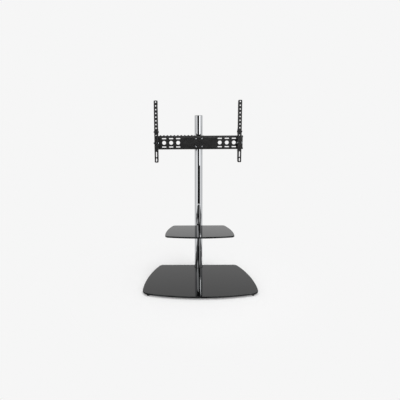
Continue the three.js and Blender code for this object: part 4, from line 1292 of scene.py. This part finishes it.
def screw(node, outward, kind, head, shank, socket, pitch=1.0, plain=0):
    """head is the head's height, plain the shank's length without thread, shank and socket are radii."""
    size = size_of(node) / MM
    length = abs(size.dot(outward))
    radius = sorted(size)[1] / 2 if length > sorted(size)[1] else sorted(size)[0] / 2
    profile = head_profile(kind, radius, head, socket)
    neck = head if kind != "countersunk" else radius - shank + COUNTERSUNK_EDGE
    profile.append((shank, -neck))
    depth = neck + plain + pitch
    profile.append((shank, -depth))
    while depth + pitch < length - pitch:
        profile.append((shank - THREAD_DEPTH_SHARE * pitch, -(depth + pitch / 2)))
        profile.append((shank, -(depth + pitch)))
        depth += pitch
    profile += [(shank, -(length - THREAD_END)), (shank - THREAD_END, -length), (0, -length)]
    put(node, stand_at(turned(profile), middle(node) + outward * length * MM / 2, outward))


print("a thread's rings cut in by", THREAD_DEPTH_SHARE, "of the pitch")

# %% All the screws
CLAMP_SCREWS = (("shelf_clamp_screw", X), ("mount_clamp_screw", X), ("shelf_bracket_screw", -Y))
for level in ("lower", "upper"):
    for node, outward in CLAMP_SCREWS:
        screw(f"{node}_{level}", outward, "cap", head=5, shank=3, socket=2.5)
    for side in ("left", "right"):
        screw(f"rail_bolt_{level}_{side}", -Y, "button", head=3.6, shank=3, socket=2)
for name in ("rear", "front_left", "front_right"):
    screw(f"shelf_disc_screw_{name}", -Z, "button", head=3, shank=2.5, socket=1.5, pitch=0.8)
for name in ("front", "rear_left", "rear_right"):
    screw(f"foot_screw_{name}", -Z, "countersunk", head=0.4, shank=4, socket=2.5, pitch=1.25)
for side, inward in (("left", X), ("right", -X)):
    screw(f"{side}_pivot_bolt", inward, "button", head=4.4, shank=4, socket=2.5, pitch=1.25, plain=20)
    screw(f"{side}_lock_bolt", inward, "cap", head=4, shank=3, socket=2.5, plain=22)
    screw(f"{side}_safety_screw", -Z, "button", head=3, shank=2.2, socket=1.25, pitch=0.7)
screw("swivel_pin", Z, "cap", head=5, shank=6, socket=4, pitch=1.75, plain=64)
print("pieces so far:", count_pieces())

# %% [markdown]
# ## Nuts
#
# A nut is the same kind of ring with its two edges chamfered round, as a nut is when it is turned from
# hexagon bar. Its box gives the width over the corners, and from that comes the width over the flats.

# %% Nuts
CORNERS_TO_FLATS = math.cos(math.pi / 6)


def nut(node, outward, bore):
    size = size_of(node) / MM
    height = abs(size.dot(outward))
    corners = max(abs(size.dot(side)) for side in (X, Y, Z) if not side.dot(outward)) / 2
    flats = corners * CORNERS_TO_FLATS
    face = middle(node) - outward * height * MM / 2
    put(node, stand_at(turned([
        (bore, 0.6), (bore + 0.6, 0), (flats, 0), (flats, 0.7, 6), (flats, height - 0.7, 6),
        (flats, height), (bore + 0.6, height), (bore, height - 0.6),
    ], closed=True), face, outward))


nut("swivel_pin_nut", -Z, bore=6.3)
for side, outward in (("left", -X), ("right", X)):
    nut(f"{side}_pivot_nut", outward, bore=4.3)
    nut(f"{side}_lock_nut", outward, bore=3.3)
print("pieces dressed:", count_pieces(), "of", len(frame["nodes"]))

# %% [markdown]
# ## Finishes for the solids
#
# The finished stand must fill the same box as its construction model.
# The solids stay hidden behind the finer pieces. They get the same finishes, so that anyone who shows
# one again sees it in its own material.

# %% Finish
for node, solid in frame["nodes"].items():
    solid.data.materials.clear()
    solid.data.materials.append(FINISH[SLOT_OF[node]])
